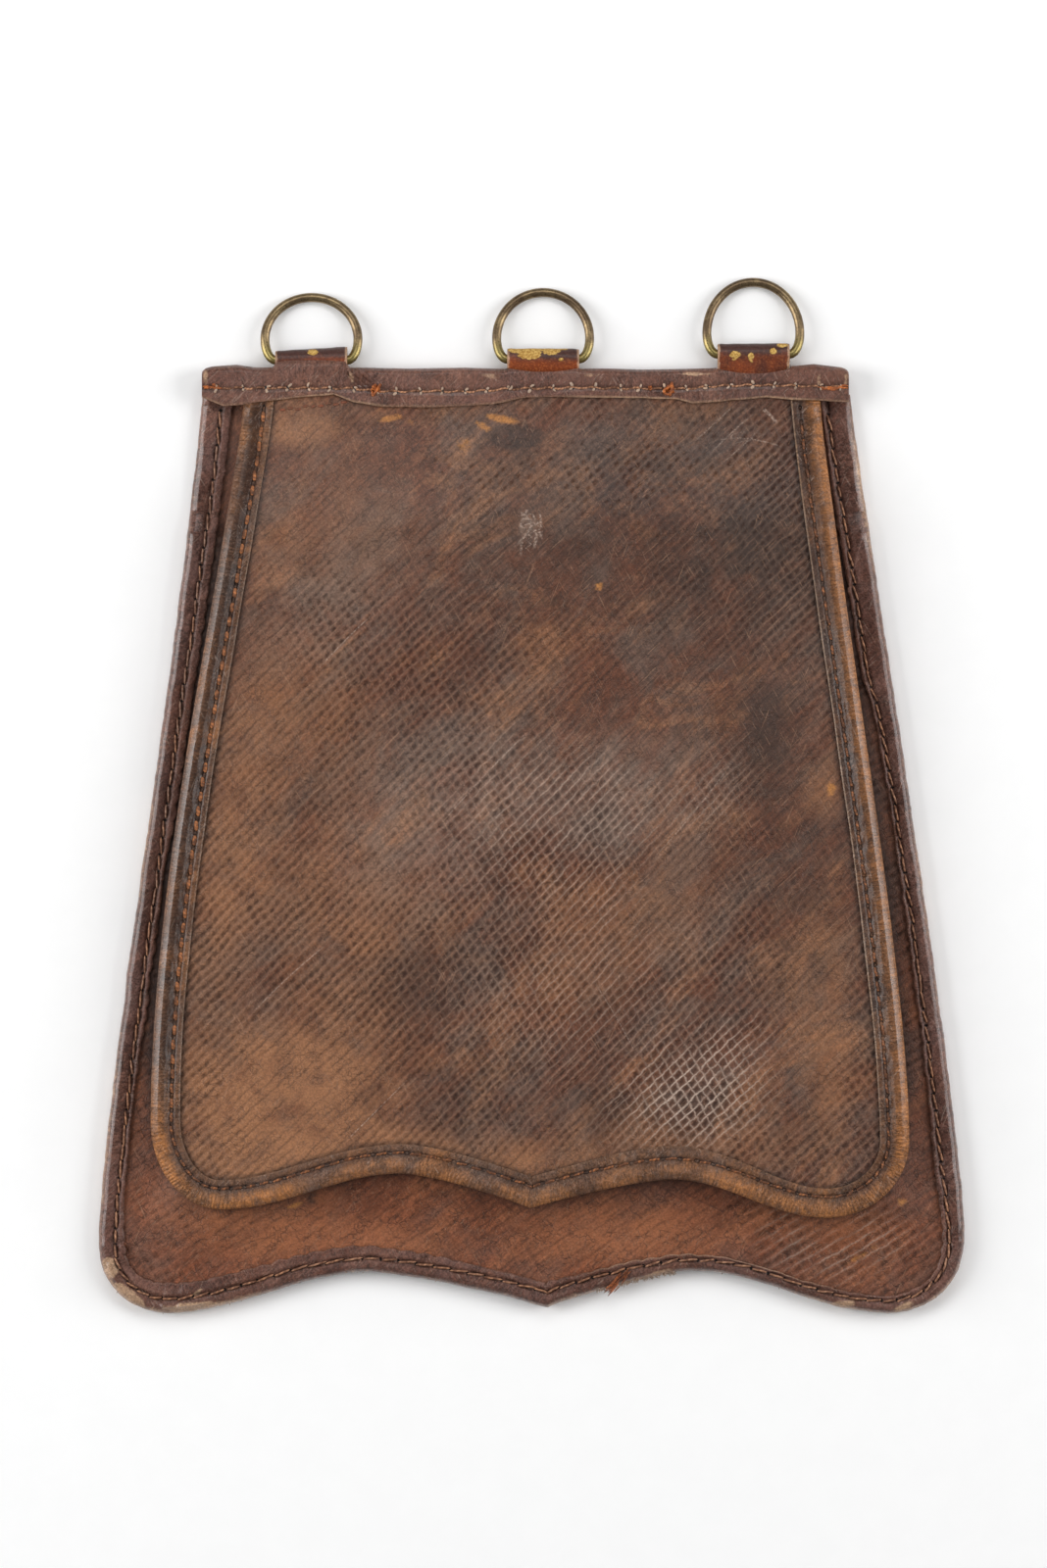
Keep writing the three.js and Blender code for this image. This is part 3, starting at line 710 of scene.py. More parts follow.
class Graph:
    """Adds nodes to a tree. A value given for an input is a number, a colour or an output."""

    def __init__(self, tree):
        self.tree = tree

    def add(self, kind, values=(), named=None, **settings):
        node = self.tree.nodes.new("ShaderNode" + kind)
        for key, value in settings.items():
            setattr(node, key, value)
        for key, value in [*enumerate(values), *(named or {}).items()]:
            self.feed(node.inputs[key], value)
        return node

    def feed(self, socket, value):
        if isinstance(value, bpy.types.NodeSocket):
            self.tree.links.new(value, socket)
        elif socket.type == "RGBA":
            socket.default_value = (*value[:3], 1)
        else:
            socket.default_value = value

    def mark(self, label, kind="Fac"):
        return self.add("Attribute", attribute_name=label).outputs[kind]

    def math(self, operation, first, second=0.0, third=0.0):
        return self.add("Math", (first, second, third), operation=operation).outputs[0]

    def times(self, first, second):
        return self.math("MULTIPLY", first, second)

    def add_to(self, rest, value, factor):
        return self.math("MULTIPLY_ADD", value, factor, rest)

    def sum_of(self, *terms):
        """The sum of values that are each given with a factor."""
        total = 0.0
        for value, factor in terms:
            total = self.add_to(total, value, factor)
        return total

    def noise_vector(self, vector, scale, reach):
        """A small random shift at each place, up to reach either way."""
        noise = self.add("TexNoise", named={"Vector": vector, "Scale": scale, "Detail": 2.0})
        middle = self.add(
            "VectorMath", (noise.outputs["Color"], (0.5, 0.5, 0.5)), operation="SUBTRACT")
        scaled = self.add("VectorMath", (middle.outputs[0],), operation="SCALE")
        scaled.inputs["Scale"].default_value = 2 * reach
        return scaled.outputs[0]

    def spread(self, value, low, high, to_low=0.0, to_high=1.0):
        values = (value, low, high, to_low, to_high)
        node = self.add("MapRange", values, interpolation_type="SMOOTHSTEP")
        return node.outputs[0]

    def mix(self, share, first, second, blend="MIX"):
        node = self.add("Mix", data_type="RGBA", blend_type=blend)
        for index, value in ((0, share), (6, first), (7, second)):
            self.feed(node.inputs[index], value)
        return node.outputs[2]

    def noise(self, place, scale, detail=3.0, rough=0.55, twist=0.0):
        named = {
            "Vector": place, "Scale": scale, "Detail": detail, "Roughness": rough,
            "Distortion": twist,
        }
        return self.add("TexNoise", named=named).outputs["Fac"]

    def stretched(self, place, scales, turn=0.0):
        named = {"Vector": place, "Rotation": (0, 0, turn), "Scale": scales}
        return self.add("Mapping", vector_type="TEXTURE", named=named).outputs["Vector"]

    def effect(self, group, **named):
        return self.add("Group", named=named, node_tree=group).outputs


def effect_group(name, **inputs):
    """Turns a function that wires a node group into one that gives the group, made once. The inputs
    have their first values here, or None for a vector, and the function gives the outputs."""

    def wired_by(build):
        def group_made_once():
            group = bpy.data.node_groups.get(name)
            if group is not None:
                return group
            group = bpy.data.node_groups.new(name, "ShaderNodeTree")
            for label, value in inputs.items():
                kind = "NodeSocketVector" if value is None else "NodeSocketFloat"
                socket = group.interface.new_socket(label, in_out="INPUT", socket_type=kind)
                if value is not None:
                    socket.default_value = value
            outputs = build(Graph(group), group.nodes.new("NodeGroupInput").outputs)
            for label in outputs:
                group.interface.new_socket(label, in_out="OUTPUT", socket_type="NodeSocketFloat")
            wanted = group.nodes.new("NodeGroupOutput").inputs
            for label, value in outputs.items():
                group.links.new(value, wanted[label])
            return group

        return group_made_once

    return wired_by


@effect_group("Crossed Hatching", Lines=None, Place=None, Depth=1.0, Crossed=1.0)
def hatching_effect(g, given):
    """Pits, crests and grooves of crossed hatching from the count of lines at a place. Where it is
    worn shallow, only some of the pits are left."""
    lines = g.add("SeparateXYZ", (given["Lines"],)).outputs
    place, depth, crossed = given["Place"], given["Depth"], given["Crossed"]
    ragged = g.add_to(-0.16, g.noise(place, 850, 3, 0.6), 0.32)
    wobble = g.add_to(g.math("ADD", ragged, -0.25), g.noise(place, 240, 2), 0.5)
    rising = g.math("PINGPONG", g.math("ADD", lines[0], wobble), 0.5)
    falling = g.math("PINGPONG", g.math("SUBTRACT", lines[1], wobble), 0.5)
    cell = g.add("CombineXYZ", [g.math("FLOOR", line) for line in lines[:2]]).outputs[0]
    chance = g.add("TexWhiteNoise", noise_dimensions="2D", named={"Vector": cell})
    worn = g.add_to(0.5, depth, -0.7)
    whole = g.spread(chance.outputs["Value"], worn, g.math("ADD", worn, 0.5), 0.4, 1.0)
    patchy = g.spread(g.noise(place, 85, 3), 0.34, 0.6, 0.55, 1.0)
    deep = g.times(g.times(whole, patchy), g.spread(depth, -0.1, 0.95))
    apart = g.spread(falling, 0.12, 0.38, g.add_to(0.6, crossed, -0.5))
    hollow = g.times(g.spread(rising, 0.14, 0.38), apart)
    drawn = g.stretched(place, (5.0, 1.0, 1.0), RISING_TURN)
    uneven = g.spread(g.noise(drawn, 520, 3, 0.6), 0.34, 0.6, 0.3, 1.2)
    thin = g.spread(g.noise(drawn, 300, 4, 0.7), 0.4, 0.6)
    first = g.times(g.spread(rising, 0.17, 0.03), g.spread(depth, 0.1, 0.8))
    second = g.times(g.spread(falling, 0.15, 0.03), g.spread(depth, 0.2, 0.9))
    second = g.times(second, g.times(crossed, 0.75))
    return {
        "Pit": g.times(hollow, deep),
        "Crest": g.math("MAXIMUM", g.times(first, uneven), second),
        "Groove": g.times(g.spread(rising, 0.3, 0.46), thin),
    }


@effect_group("Streaked Stains", Place=None)
def streak_effect(g, given):
    """Slow stains drawn out along the rising lines, greyed, tan and dark, and fine brushing."""
    place = given["Place"]
    drawn = g.stretched(place, (1.7, 1.0, 1.0), RISING_TURN)
    other = g.add("VectorMath", (drawn, (0.37, 0.11, 0.7)), operation="ADD").outputs[0]
    third = g.add("VectorMath", (drawn, (0.83, 0.59, 1.3)), operation="ADD").outputs[0]
    brushed = g.stretched(place, (9.0, 1.0, 1.0), RISING_TURN)
    crossing = g.stretched(place, (7.0, 1.0, 1.0), FALLING_TURN)
    strokes = g.sum_of(
        (g.noise(crossing, 800, 3, 0.7), 0.4), (g.noise(brushed, 1000, 3, 0.72), 0.6))
    return {
        "Grey": g.spread(g.noise(drawn, 52, 5, 0.7, 0.6), 0.38, 0.66),
        "Tan": g.spread(g.noise(other, 44, 5, 0.72, 0.8), 0.46, 0.74),
        "Dark": g.spread(g.noise(third, 56, 5, 0.74, 0.8), 0.48, 0.76),
        "Brushed": g.spread(strokes, 0.34, 0.66),
    }


@effect_group("Leather Grain", Place=None)
def grain_effect(g, given):
    """The grain of old leather: fine relief, slow changes of tone, small specks and cracks."""
    place = given["Place"]

    def seams(vector, scale, low, high):
        named = {"Vector": vector, "Scale": scale, "Randomness": 1.0}
        cells = g.add("TexVoronoi", feature="DISTANCE_TO_EDGE", named=named)
        return g.spread(cells.outputs["Distance"], low, high)

    tone = g.sum_of(
        (g.noise(place, 26, 3, 0.6, 0.6), 0.55), (g.noise(place, 150, 4, 0.62, 0.3), 0.55))
    bent = g.add("VectorMath", (place, g.noise_vector(place, 300, 0.0016)), operation="ADD")
    cracks = seams(bent.outputs[0], 430.0, 0.09, 0.01)
    return {
        "Relief": g.sum_of(
            (seams(place, 1150.0, 0.0, 0.22), 0.5), (g.noise(place, 2300, 3, 0.6), 0.6)),
        "Tone": g.spread(tone, 0.36, 0.74),
        "Specks": g.spread(g.noise(place, 1500, 2, 0.7), 0.3, 0.72),
        "Crackle": g.times(cracks, g.spread(g.noise(place, 170, 3, 0.6), 0.44, 0.6)),
    }


@effect_group("Ragged Patch", Mask=0.0, Place=None, Scale=200.0, Softness=0.4)
def ragged_effect(g, given):
    """A ragged mask from a soft one, as stains, scuffs and flaking have."""
    mask = given["Mask"]
    rough = g.noise(given["Place"], given["Scale"], 5, 0.65, 0.4)
    edge = g.add_to(g.math("SUBTRACT", mask, 1.12), rough, 1.3)
    return {
        "Mask": g.spread(edge, -0.06, given["Softness"]),
        "Broken": g.times(mask, g.spread(rough, 0.3, 0.62, 0.3, 1.0)),
    }


@effect_group("Fine Scratches", Place=None)
def scratch_effect(g, given):
    """Fine scratches along both ways of the hatching, and longer ones across them."""
    # Turn, length to width, scale, the noise where a scratch starts and is full, and the same of
    # the patches that have any
    sets = (
        (RISING_TURN, 16.0, 2400, 0.5, (0.6, 0.74), (0.4, 0.62)),
        (FALLING_TURN, 16.0, 2400, 0.5, (0.6, 0.74), (0.62, 0.44)),
        (RISING_TURN, 22.0, 1500, 0.55, (0.64, 0.72), (0.35, 0.6)),
        (1.2, 22.0, 1500, 0.55, (0.64, 0.72), (0.6, 0.4)),
        (2.0, 22.0, 1500, 0.55, (0.64, 0.72), (0.5, 0.62)),
    )
    patchy = g.noise(given["Place"], 60, 2)
    mask = 0.0
    for turn, length, scale, rough, full, patches in sets:
        drawn = g.stretched(given["Place"], (length, 1.0, 1.0), turn)
        lines = g.spread(g.noise(drawn, scale, 2, rough), *full)
        mask = g.math("MAXIMUM", mask, g.times(lines, g.spread(patchy, *patches)))
    return {"Mask": mask}


@effect_group("Thread Twist", Along=0.0, Around=0.0, Place=None)
def twist_effect(g, given):
    """The twisted strands of a waxed thread."""
    strand = g.math("PINGPONG", g.math("ADD", given["Along"], given["Around"]), 0.5)
    dirt = g.noise(given["Place"], 700, 3)
    return {"Relief": g.spread(strand, 0.0, 0.5), "Tone": g.spread(dirt, 0.35, 0.65)}


def new_material(name):
    """A material with a Principled surface, its graph, that shader and the place on it."""
    material = bpy.data.materials.new(name)
    material.use_nodes = True
    g = Graph(material.node_tree)
    place = g.add("TexCoord").outputs["Object"]
    return material, g, material.node_tree.nodes["Principled BSDF"], place


def new_leather(name):
    """The same for leather, with its grain."""
    material, g, shader, place = new_material(name)
    return material, g, shader, place, g.effect(grain_effect(), Place=place)


def layered(g, colour, *coats):
    """A colour with coats over it in turn: each has a mask, a strength and a colour."""
    for mask, strength, coat in coats:
        colour = g.mix(g.times(mask, strength), colour, coat)
    return colour


def dress(g, shader, relief, finish):
    """Give a shader its finish, by the names of its inputs, and relief in millimetres as a bump."""
    bump = g.add("Bump", named={"Strength": 1.0, "Distance": MM, "Height": relief})
    for label, value in {**finish, "Normal": bump.outputs["Normal"]}.items():
        g.feed(shader.inputs[label], value)


# The tones of one kind of leather
Hide = namedtuple("Hide", "brown grey tan dark")


def hide_colour(g, place, hide):
    """The streaked ground colour of old leather."""
    streaks = g.effect(streak_effect(), Place=place)
    colour = layered(
        g, hide.brown, (streaks["Grey"], 1.0, hide.grey), (streaks["Tan"], 0.7, hide.tan),
        (streaks["Dark"], 0.65, hide.dark))
    return specked(g, colour, streaks["Brushed"], 0.7, 1.28)


def specked(g, colour, specks, low, high):
    """A colour made lighter and darker in small specks."""
    light = g.spread(specks, 0, 1, low, high)
    shade = g.add("CombineXYZ", (light, light, light)).outputs[0]
    return g.mix(1.0, colour, shade, "MULTIPLY")


def ragged(g, place, mask, scale, softness):
    """A soft mask with its border broken up."""
    patchy = g.effect(ragged_effect(), Mask=mask, Place=place, Scale=scale, Softness=softness)
    return patchy["Mask"]


def broken(g, place, mask, scale):
    """A soft mask that is weaker in places."""
    return g.effect(ragged_effect(), Mask=mask, Place=place, Scale=scale)["Broken"]


def scratches(g, place):
    """Where the leather is scratched."""
    return g.effect(scratch_effect(), Place=place)["Mask"]


def hatched_leather(name, colours, hide, line_colour, crest, crackle):
    """Old hatched leather: dark pits, rubbed ridges, tan and grey stains, scuffs and thin lines,
    with painted shade along the flap's edges and painted highlight on rubbed crests and pale
    patches.
    """
    material, g, shader, place, grain = new_leather(name)
    hatch = g.effect(
        hatching_effect(), Lines=g.mark("lines", "Vector"), Place=place, Depth=g.mark("depth"),
        Crossed=g.mark("crossed"))
    pit = g.times(hatch["Pit"], g.spread(grain["Specks"], 0, 1, 0.7, 1.0))
    off = g.math("ABSOLUTE", g.mark("line"))
    thin = g.times(g.spread(off, 1.4, 0.5), g.mark("line_share"))
    thin = g.times(thin, g.spread(grain["Specks"], 0.2, 0.8, 0.2, 1.0))
    scuff = ragged(g, place, g.mark("scuff"), 700, 0.6)
    colour = layered(
        g, hide_colour(g, place, hide),
        (broken(g, place, g.mark("tan"), 90), 1.0, hide.tan),
        # dark stains, and painted shade in the gaps beside the flap
        (broken(g, place, g.mark("soil"), 110), 0.85, colours.soil),
        # lighter leather, and painted highlight in the flap's broad pale patches
        (broken(g, place, g.mark("pale"), 130), 0.25, colours.pale),
        (pit, 0.74, colours.pit),
        (hatch["Groove"], 0.36, colours.pit),
        (grain["Crackle"], crackle, colours.pit),
        (hatch["Crest"], crest, colours.ridge),
        # painted highlight: a pale gleam on the crests where the leather is rubbed
        (g.times(hatch["Crest"], g.mark("rubbed")), 0.75, colours.pale),
        (scratches(g, place), 0.42, colours.ridge),
        (thin, 1.0, line_colour),
        (scuff, 0.8, colours.scuff),
        # painted shade: near black under and beside the flap's edge, and along the flap binding's
        # inner edge
        (g.mark("painted_shade"), 1.0, colours.hole),
    )
    relief = g.sum_of(
        (grain["Relief"], 0.09), (pit, -0.2), (hatch["Crest"], 0.06), (grain["Crackle"], -0.1),
        (thin, -0.15), (scuff, -0.1))
    rough = g.spread(grain["Tone"], 0, 1, 0.55, 0.42)
    dress(g, shader, relief, {
        "Base Color": specked(g, colour, grain["Specks"], 0.8, 1.18),
        "Roughness": g.sum_of((rough, 1.0), (hatch["Pit"], 0.25), (scuff, 0.2)),
        "Coat Weight": g.spread(hatch["Pit"], 0.0, 0.5, 0.3, 0.0),
        "Coat Roughness": 0.38,
        "Specular IOR Level": 0.25,
    })
    return material


def plain_leather(name, hide):
    """The smooth back panel."""
    material, g, shader, place, grain = new_leather(name)
    colour = layered(g, hide_colour(g, place, hide), (scratches(g, place), 0.35, hide.tan))
    dress(g, shader, g.times(grain["Relief"], 0.09), {
        "Base Color": specked(g, colour, grain["Specks"], 0.8, 1.16),
        "Roughness": g.spread(grain["Tone"], 0, 1, 0.6, 0.48),
    })
    return material


def binding_leather(name, colours, hide, ribs):
    """A folded strip: dark in its stitch groove, rubbed and worn pale along its outer edge, with
    fine ribs across its roll, and polished where it is handled."""
    material, g, shader, place, grain = new_leather(name)
    edge, polish, way = g.mark("edge"), g.mark("polish"), g.mark("way")
    across = g.add("CombineXYZ", (way, g.times(edge, 2.2))).outputs[0]
    wrinkles = g.noise(across, 0.8, 5, 0.65, 0.5)
    creases = g.spread(g.math("ABSOLUTE", g.math("SUBTRACT", wrinkles, 0.5)), 0.03, 0.0)
    creases = g.times(creases, g.spread(grain["Tone"], 0.3, 0.7))
    rubbed = broken(g, place, g.mark("tan"), 260)
    rubbed = g.times(rubbed, g.spread(wrinkles, 0.36, 0.52, 0.45, 1.15))
    rim = g.times(g.spread(edge, 0.62, 0.98), g.add_to(0.42, g.mark("worn"), 0.5))
    pale = ragged(g, place, rim, 420, 0.6)
    scuff = ragged(g, place, g.mark("scuff"), 380, 0.35)
    bare = g.math("MAXIMUM", g.times(pale, 0.75), g.times(scuff, 0.9))
    raw = specked(g, colours.raw, grain["Tone"], 0.7, 1.1)
    # a pale line along the cut edge, partly raw leather and partly a painted highlight where the
    # edge catches the light
    cut = g.times(g.spread(edge, 0.07, 0.02), g.mark("cut"))
    groove = g.times(g.mark("groove"), g.spread(grain["Tone"], 0, 1, 1.0, 0.7))
    colour = layered(
        g, hide_colour(g, place, hide), (rubbed, 1.0, hide.tan), (creases, 0.55, hide.dark),
        (bare, 1.0, raw), (cut, 1.0, raw), (groove, 1.0, colours.pit),
        (scratches(g, place), 0.25, colours.pale))
    colour = specked(g, colour, grain["Specks"], 0.76, 1.2)
    # painted shade: near black inside the stitch holes
    hole = g.spread(g.mark("hole"), 0.2, 0.6)
    phase = g.add_to(way, g.noise(place, 130, 2), 3.0)
    ribbing = g.math("PINGPONG", g.times(phase, 1 / RIB_PITCH), 0.5)
    ribbing = g.times(ribbing, g.spread(g.noise(place, 260, 3), 0.32, 0.56, 0, ribs))
    on_roll = g.times(g.spread(edge, 0.42, 0.7), ribbing)
    relief = g.sum_of(
        (on_roll, 1.0), (grain["Relief"], 0.1), (creases, -0.12), (wrinkles, 0.5), (bare, -0.06))
    rough = g.spread(grain["Tone"], 0, 1, 0.5, 0.38)
    shine = g.times(polish, g.spread(grain["Tone"], 0, 1, 0.6, 1.0))
    dress(g, shader, relief, {
        "Base Color": g.mix(hole, colour, colours.hole),
        "Roughness": g.sum_of((rough, 1.0), (groove, 0.4), (polish, -0.12), (bare, 0.3)),
        "Coat Weight": g.math("SUBTRACT", shine, hole),
        "Coat Roughness": 0.12,
        "Specular IOR Level": 0.2,
    })
    return material


def loop_leather(name, colours):
    """The ring loops: darker towards the fold as painted shade, red-brown and polished below, with
    flakes of paint.
    """
    material, g, shader, place, grain = new_leather(name)
    warm = g.mark("warm")
    paint = ragged(g, place, g.mark("paint"), 900, 0.1)
    tone = g.add_to(g.math("SUBTRACT", warm, 0.25), grain["Tone"], 0.5)
    worn = g.times(g.spread(grain["Specks"], 0.55, 0.95), warm)
    colour = layered(
        g, colours.loop_dark, (g.spread(tone, 0.1, 0.85), 1.0, colours.loop),
        (worn, 0.3, colours.scuff),
        (ragged(g, place, g.mark("edge"), 500, 0.4), 0.75, colours.raw))
    colour = specked(g, colour, grain["Specks"], 0.8, 1.16)
    crumbs = g.mix(grain["Specks"], colours.paint_dark, colours.paint)
    dress(g, shader, g.sum_of((grain["Relief"], 0.1), (paint, 0.12)), {
        "Base Color": g.mix(paint, colour, crumbs),
        "Roughness": g.add_to(0.42, paint, 0.3),
        "Coat Weight": g.spread(paint, 0.0, 0.5, 0.2, 0.0),
        "Coat Roughness": 0.2,
        "Specular IOR Level": 0.25,
    })
    return material


def old_brass(name, colours):
    """Brass wire with an olive tarnish, brighter where it is rubbed."""
    material, g, shader, place = new_material(name)
    fine = g.noise(place, 1900, 3, 0.6)
    rubbed = g.spread(g.add_to(g.noise(place, 160, 4, 0.6, 0.4), fine, 0.3), 0.5, 0.85)
    colour = layered(
        g, colours.tarnish, (rubbed, 1.0, colours.brass),
        (g.mark("bright"), 0.6, colours.bright_brass))
    dress(g, shader, g.times(fine, 0.025), {
        "Base Color": colour,
        "Metallic": g.spread(rubbed, 0, 1, 0.75, 0.95),
        "Roughness": g.spread(fine, 0.3, 0.7, 0.26, 0.4),
    })
    return material


def waxed_thread(name, colours, light, dark):
    """Twisted thread, dirty in places and bleached where its mark says so."""
    material, g, shader, place = new_material(name)
    twist = g.effect(
        twist_effect(), Along=g.mark("along"), Around=g.mark("around"), Place=place)
    shade = g.times(twist["Tone"], g.spread(twist["Relief"], 0, 1, 0.45, 1.0))
    shade = g.math("SUBTRACT", shade, g.mark("dull"))
    clean = g.mix(g.mark("bleached"), light, colours.bleached_thread)
    dress(g, shader, g.times(twist["Relief"], 0.1), {
        "Base Color": g.mix(shade, dark, clean),
        "Roughness": g.spread(twist["Tone"], 0, 1, 0.75, 0.6),
    })
    return material


def torn_leather(name, colours):
    """Raw leather standing up round an awl's holes, with near-black painted shade inside them."""
    material, g, shader, _, grain = new_leather(name)
    colour = g.mix(grain["Specks"], colours.raw, colours.pale)
    colour = specked(g, colour, grain["Tone"], 0.75, 1.05)
    dress(g, shader, g.times(grain["Relief"], 0.06), {
        "Base Color": g.mix(g.mark("hole"), colour, colours.hole),
        "Roughness": g.spread(grain["Specks"], 0, 1, 0.62, 0.75),
    })
    return material


def floor_paper(name, colours):
    """A pale matt sheet."""
    material, g, shader, place = new_material(name)
    tone = g.spread(g.noise(place, 90, 3), 0.3, 0.7)
    darker = [0.985 * channel for channel in colours.floor]
    g.feed(shader.inputs["Base Color"], g.mix(tone, darker, colours.floor))
    shader.inputs["Roughness"].default_value = 0.9
    return material


# Sizes and colours that a user may change


def srgb(red, green, blue):
    """A colour from 0 to 255 as a screen shows it, in linear light."""
    share = np.array((red, green, blue)) / 255
    linear = np.where(share <= 0.04045, share / 12.92, ((share + 0.055) / 1.055) ** 2.4)
    return tuple(float(value) for value in linear)


def length(name, millimetres, description):
    """A length that a user may change."""
    return FloatProperty(
        name=name, description=description, default=millimetres * MM, min=0.05 * MM,
        unit="LENGTH", precision=5,
    )


def tint(name, red, green, blue, description):
    """A colour that a user may change, given as a screen shows it."""
    return FloatVectorProperty(
        name=name, description=description, default=srgb(red, green, blue), size=3,
        min=0, max=1, subtype="COLOR",
    )


class SabretacheSizes(bpy.types.PropertyGroup):
    """Sizes of the hatching and the stitching"""

    rising_pitch: length("Rising Pitch", 2.47, "Distance between the rising hatch lines")
    falling_pitch: length("Falling Pitch", 2.9, "Distance between the falling hatch lines")
    hatch_depth: length("Hatch Depth", 0.24, "Depth of the pits between the hatch lines")
    flap_stitch: length("Flap Stitch", 4.8, "Distance between stitches of the flap binding")
    body_stitch: length("Body Stitch", 5.6, "Distance between stitches of the body binding")
    top_stitch: length("Top Stitch", 7.2, "Distance between holes of the top binding")
    thread: length("Thread", 1.0, "Width of the sewing thread")


class SabretacheColours(bpy.types.PropertyGroup):
    """Colours of the leather, thread, metal and floor"""

    flap_brown: tint("Flap Brown", 98, 58, 40, "Flap leather")
    flap_grey: tint("Flap Grey", 97, 75, 64, "Flap leather where it is greyed")
    flap_tan: tint("Flap Tan", 152, 104, 71, "Flap leather where it is rubbed to tan")
    flap_dark: tint("Flap Dark", 58, 37, 28, "Flap leather where it is darkened")
    panel_brown: tint("Panel Brown", 122, 70, 46, "Leather of the pouch")
    panel_grey: tint("Panel Grey", 106, 70, 55, "Leather of the pouch where it is greyed")
    panel_tan: tint("Panel Tan", 158, 98, 64, "Leather of the pouch where it is tan")
    panel_dark: tint("Panel Dark", 74, 40, 28, "Leather of the pouch where it is dark")
    binding_brown: tint("Binding Brown", 94, 60, 49, "Leather of the body and top bindings")
    binding_grey: tint("Binding Grey", 109, 78, 70, "The same where it is greyed")
    binding_tan: tint("Binding Tan", 126, 86, 70, "The same where it is rubbed")
    binding_dark: tint("Binding Dark", 60, 37, 32, "The same where it is darkened")
    flap_edge_brown: tint("Flap Edge Brown", 88, 62, 49, "Leather of the flap binding")
    flap_edge_grey: tint("Flap Edge Grey", 96, 79, 71, "The same where it is greyed")
    flap_edge_tan: tint("Flap Edge Tan", 176, 116, 68, "The same where it is rubbed")
    flap_edge_dark: tint("Flap Edge Dark", 46, 33, 28, "The same where it is darkened")
    # Dark stains, also used as painted shade in the gaps beside the flap
    soil: tint("Soil", 50, 36, 30, "Dark stains")
    pit: tint("Pit", 42, 22, 14, "Pits and grooves")
    ridge: tint("Ridge", 154, 118, 94, "Ridges of the hatching")
    # Hole is painted shade: the inside of stitch holes, and the shade under and beside the flap's
    # edge
    hole: tint("Hole", 10, 6, 5, "Inside of a stitch hole")
    # Pale is also painted highlight: the gleam on rubbed crests and the flap's broad pale patches
    pale: tint("Pale", 194, 172, 156, "Polished and scratched places")
    scuff: tint("Scuff", 184, 124, 66, "Fresh scuffs")
    raw: tint("Raw", 190, 154, 124, "Raw leather at worn edges")
    loop: tint("Loop", 138, 66, 34, "Ring loops")
    # Loop Dark is painted shade towards the loops' folds
    loop_dark: tint("Loop Dark", 72, 44, 38, "Ring loops where they are dark")
    paint: tint("Paint", 220, 184, 108, "Flakes of paint on the loops")
    paint_dark: tint("Paint Dark", 156, 112, 46, "Flakes of paint in their hollows")
    brass: tint("Brass", 146, 126, 94, "Rubbed brass")
    bright_brass: tint("Bright Brass", 158, 144, 84, "Brass that is kept bright")
    tarnish: tint("Tarnish", 94, 76, 56, "Tarnished brass")
    gold_thread: tint("Gold Thread", 182, 112, 62, "Thread of the flap binding")
    gold_thread_dark: tint("Gold Thread Dark", 88, 52, 30, "The same where it is dirty")
    brown_thread: tint("Brown Thread", 192, 136, 98, "Thread of the body and top bindings")
    brown_thread_dark: tint("Brown Thread Dark", 104, 66, 46, "The same where it is dirty")
    bleached_thread: tint("Bleached Thread", 168, 138, 120, "Thread that is worn pale")
    orange_thread: tint("Orange Thread", 202, 112, 46, "Knots and loose ends")
    orange_thread_dark: tint("Orange Thread Dark", 120, 62, 28, "The same in shade")
    floor: tint("Floor", 254, 254, 254, "The floor")

    def hide(self, kind):
        """The four tones of one kind of leather."""
        return Hide(*(getattr(self, f"{kind}_{tone}") for tone in Hide._fields))


class Builder(bpy.types.Operator):
    """What the operators share"""

    bl_options = {"REGISTER", "UNDO"}

    def settings(self, context):
        return context.scene.sabretache_sizes, context.scene.sabretache_colours


def hatch_pitches(sizes):
    """The distances between the rising and between the falling hatch lines."""
    return np.array((sizes.rising_pitch, sizes.falling_pitch)) / MM


def hatched_marks(lattice, marks, thin_lines, depth, painted_shade, crossed):
    """The stains, wear, painted shade and painted highlight, thin lines and hatching at each point
    of a sheet, for its material.
    """
    x, y, lines = lattice[:3]
    effects = ("tan", "soil", "pale", "scuff", "rubbed")
    return {
        **{effect: cover(marks, effect, x, y) for effect in effects},
        **line_marks(thin_lines, x, y),
        "depth": depth, "painted_shade": painted_shade, "crossed": crossed,
        "lines": np.column_stack([lines, np.zeros(len(x))]),
    }


class SABRETACHE_OT_back_panel(Builder):
    """Make the smooth back panel"""

    bl_idname = "sabretache.back_panel"
    bl_label = "Back Panel"

    SPACING = (4.0, 4.0)

    def execute(self, context):
        _, colours = self.settings(context)
        edge = Edge(BODY, 1.0)
        top_y = BACK_HIGH[1] - Y_SHIFT
        lattice = hatch_lattice(edge, top_y, HATCH_TURNS, self.SPACING, (1, 1), 2)
        x, y = lattice[:2]
        low = np.full(len(x), BACK_Z)
        high = low + PANEL + 0.1 * lumps(x, y, 30, 12) - 0.1
        material = plain_leather("back_leather", colours.hide("panel"))
        piece = make_sheet(
            "back_leather", lattice, low, high, material, "back_panel", {})
        return {"FINISHED"}


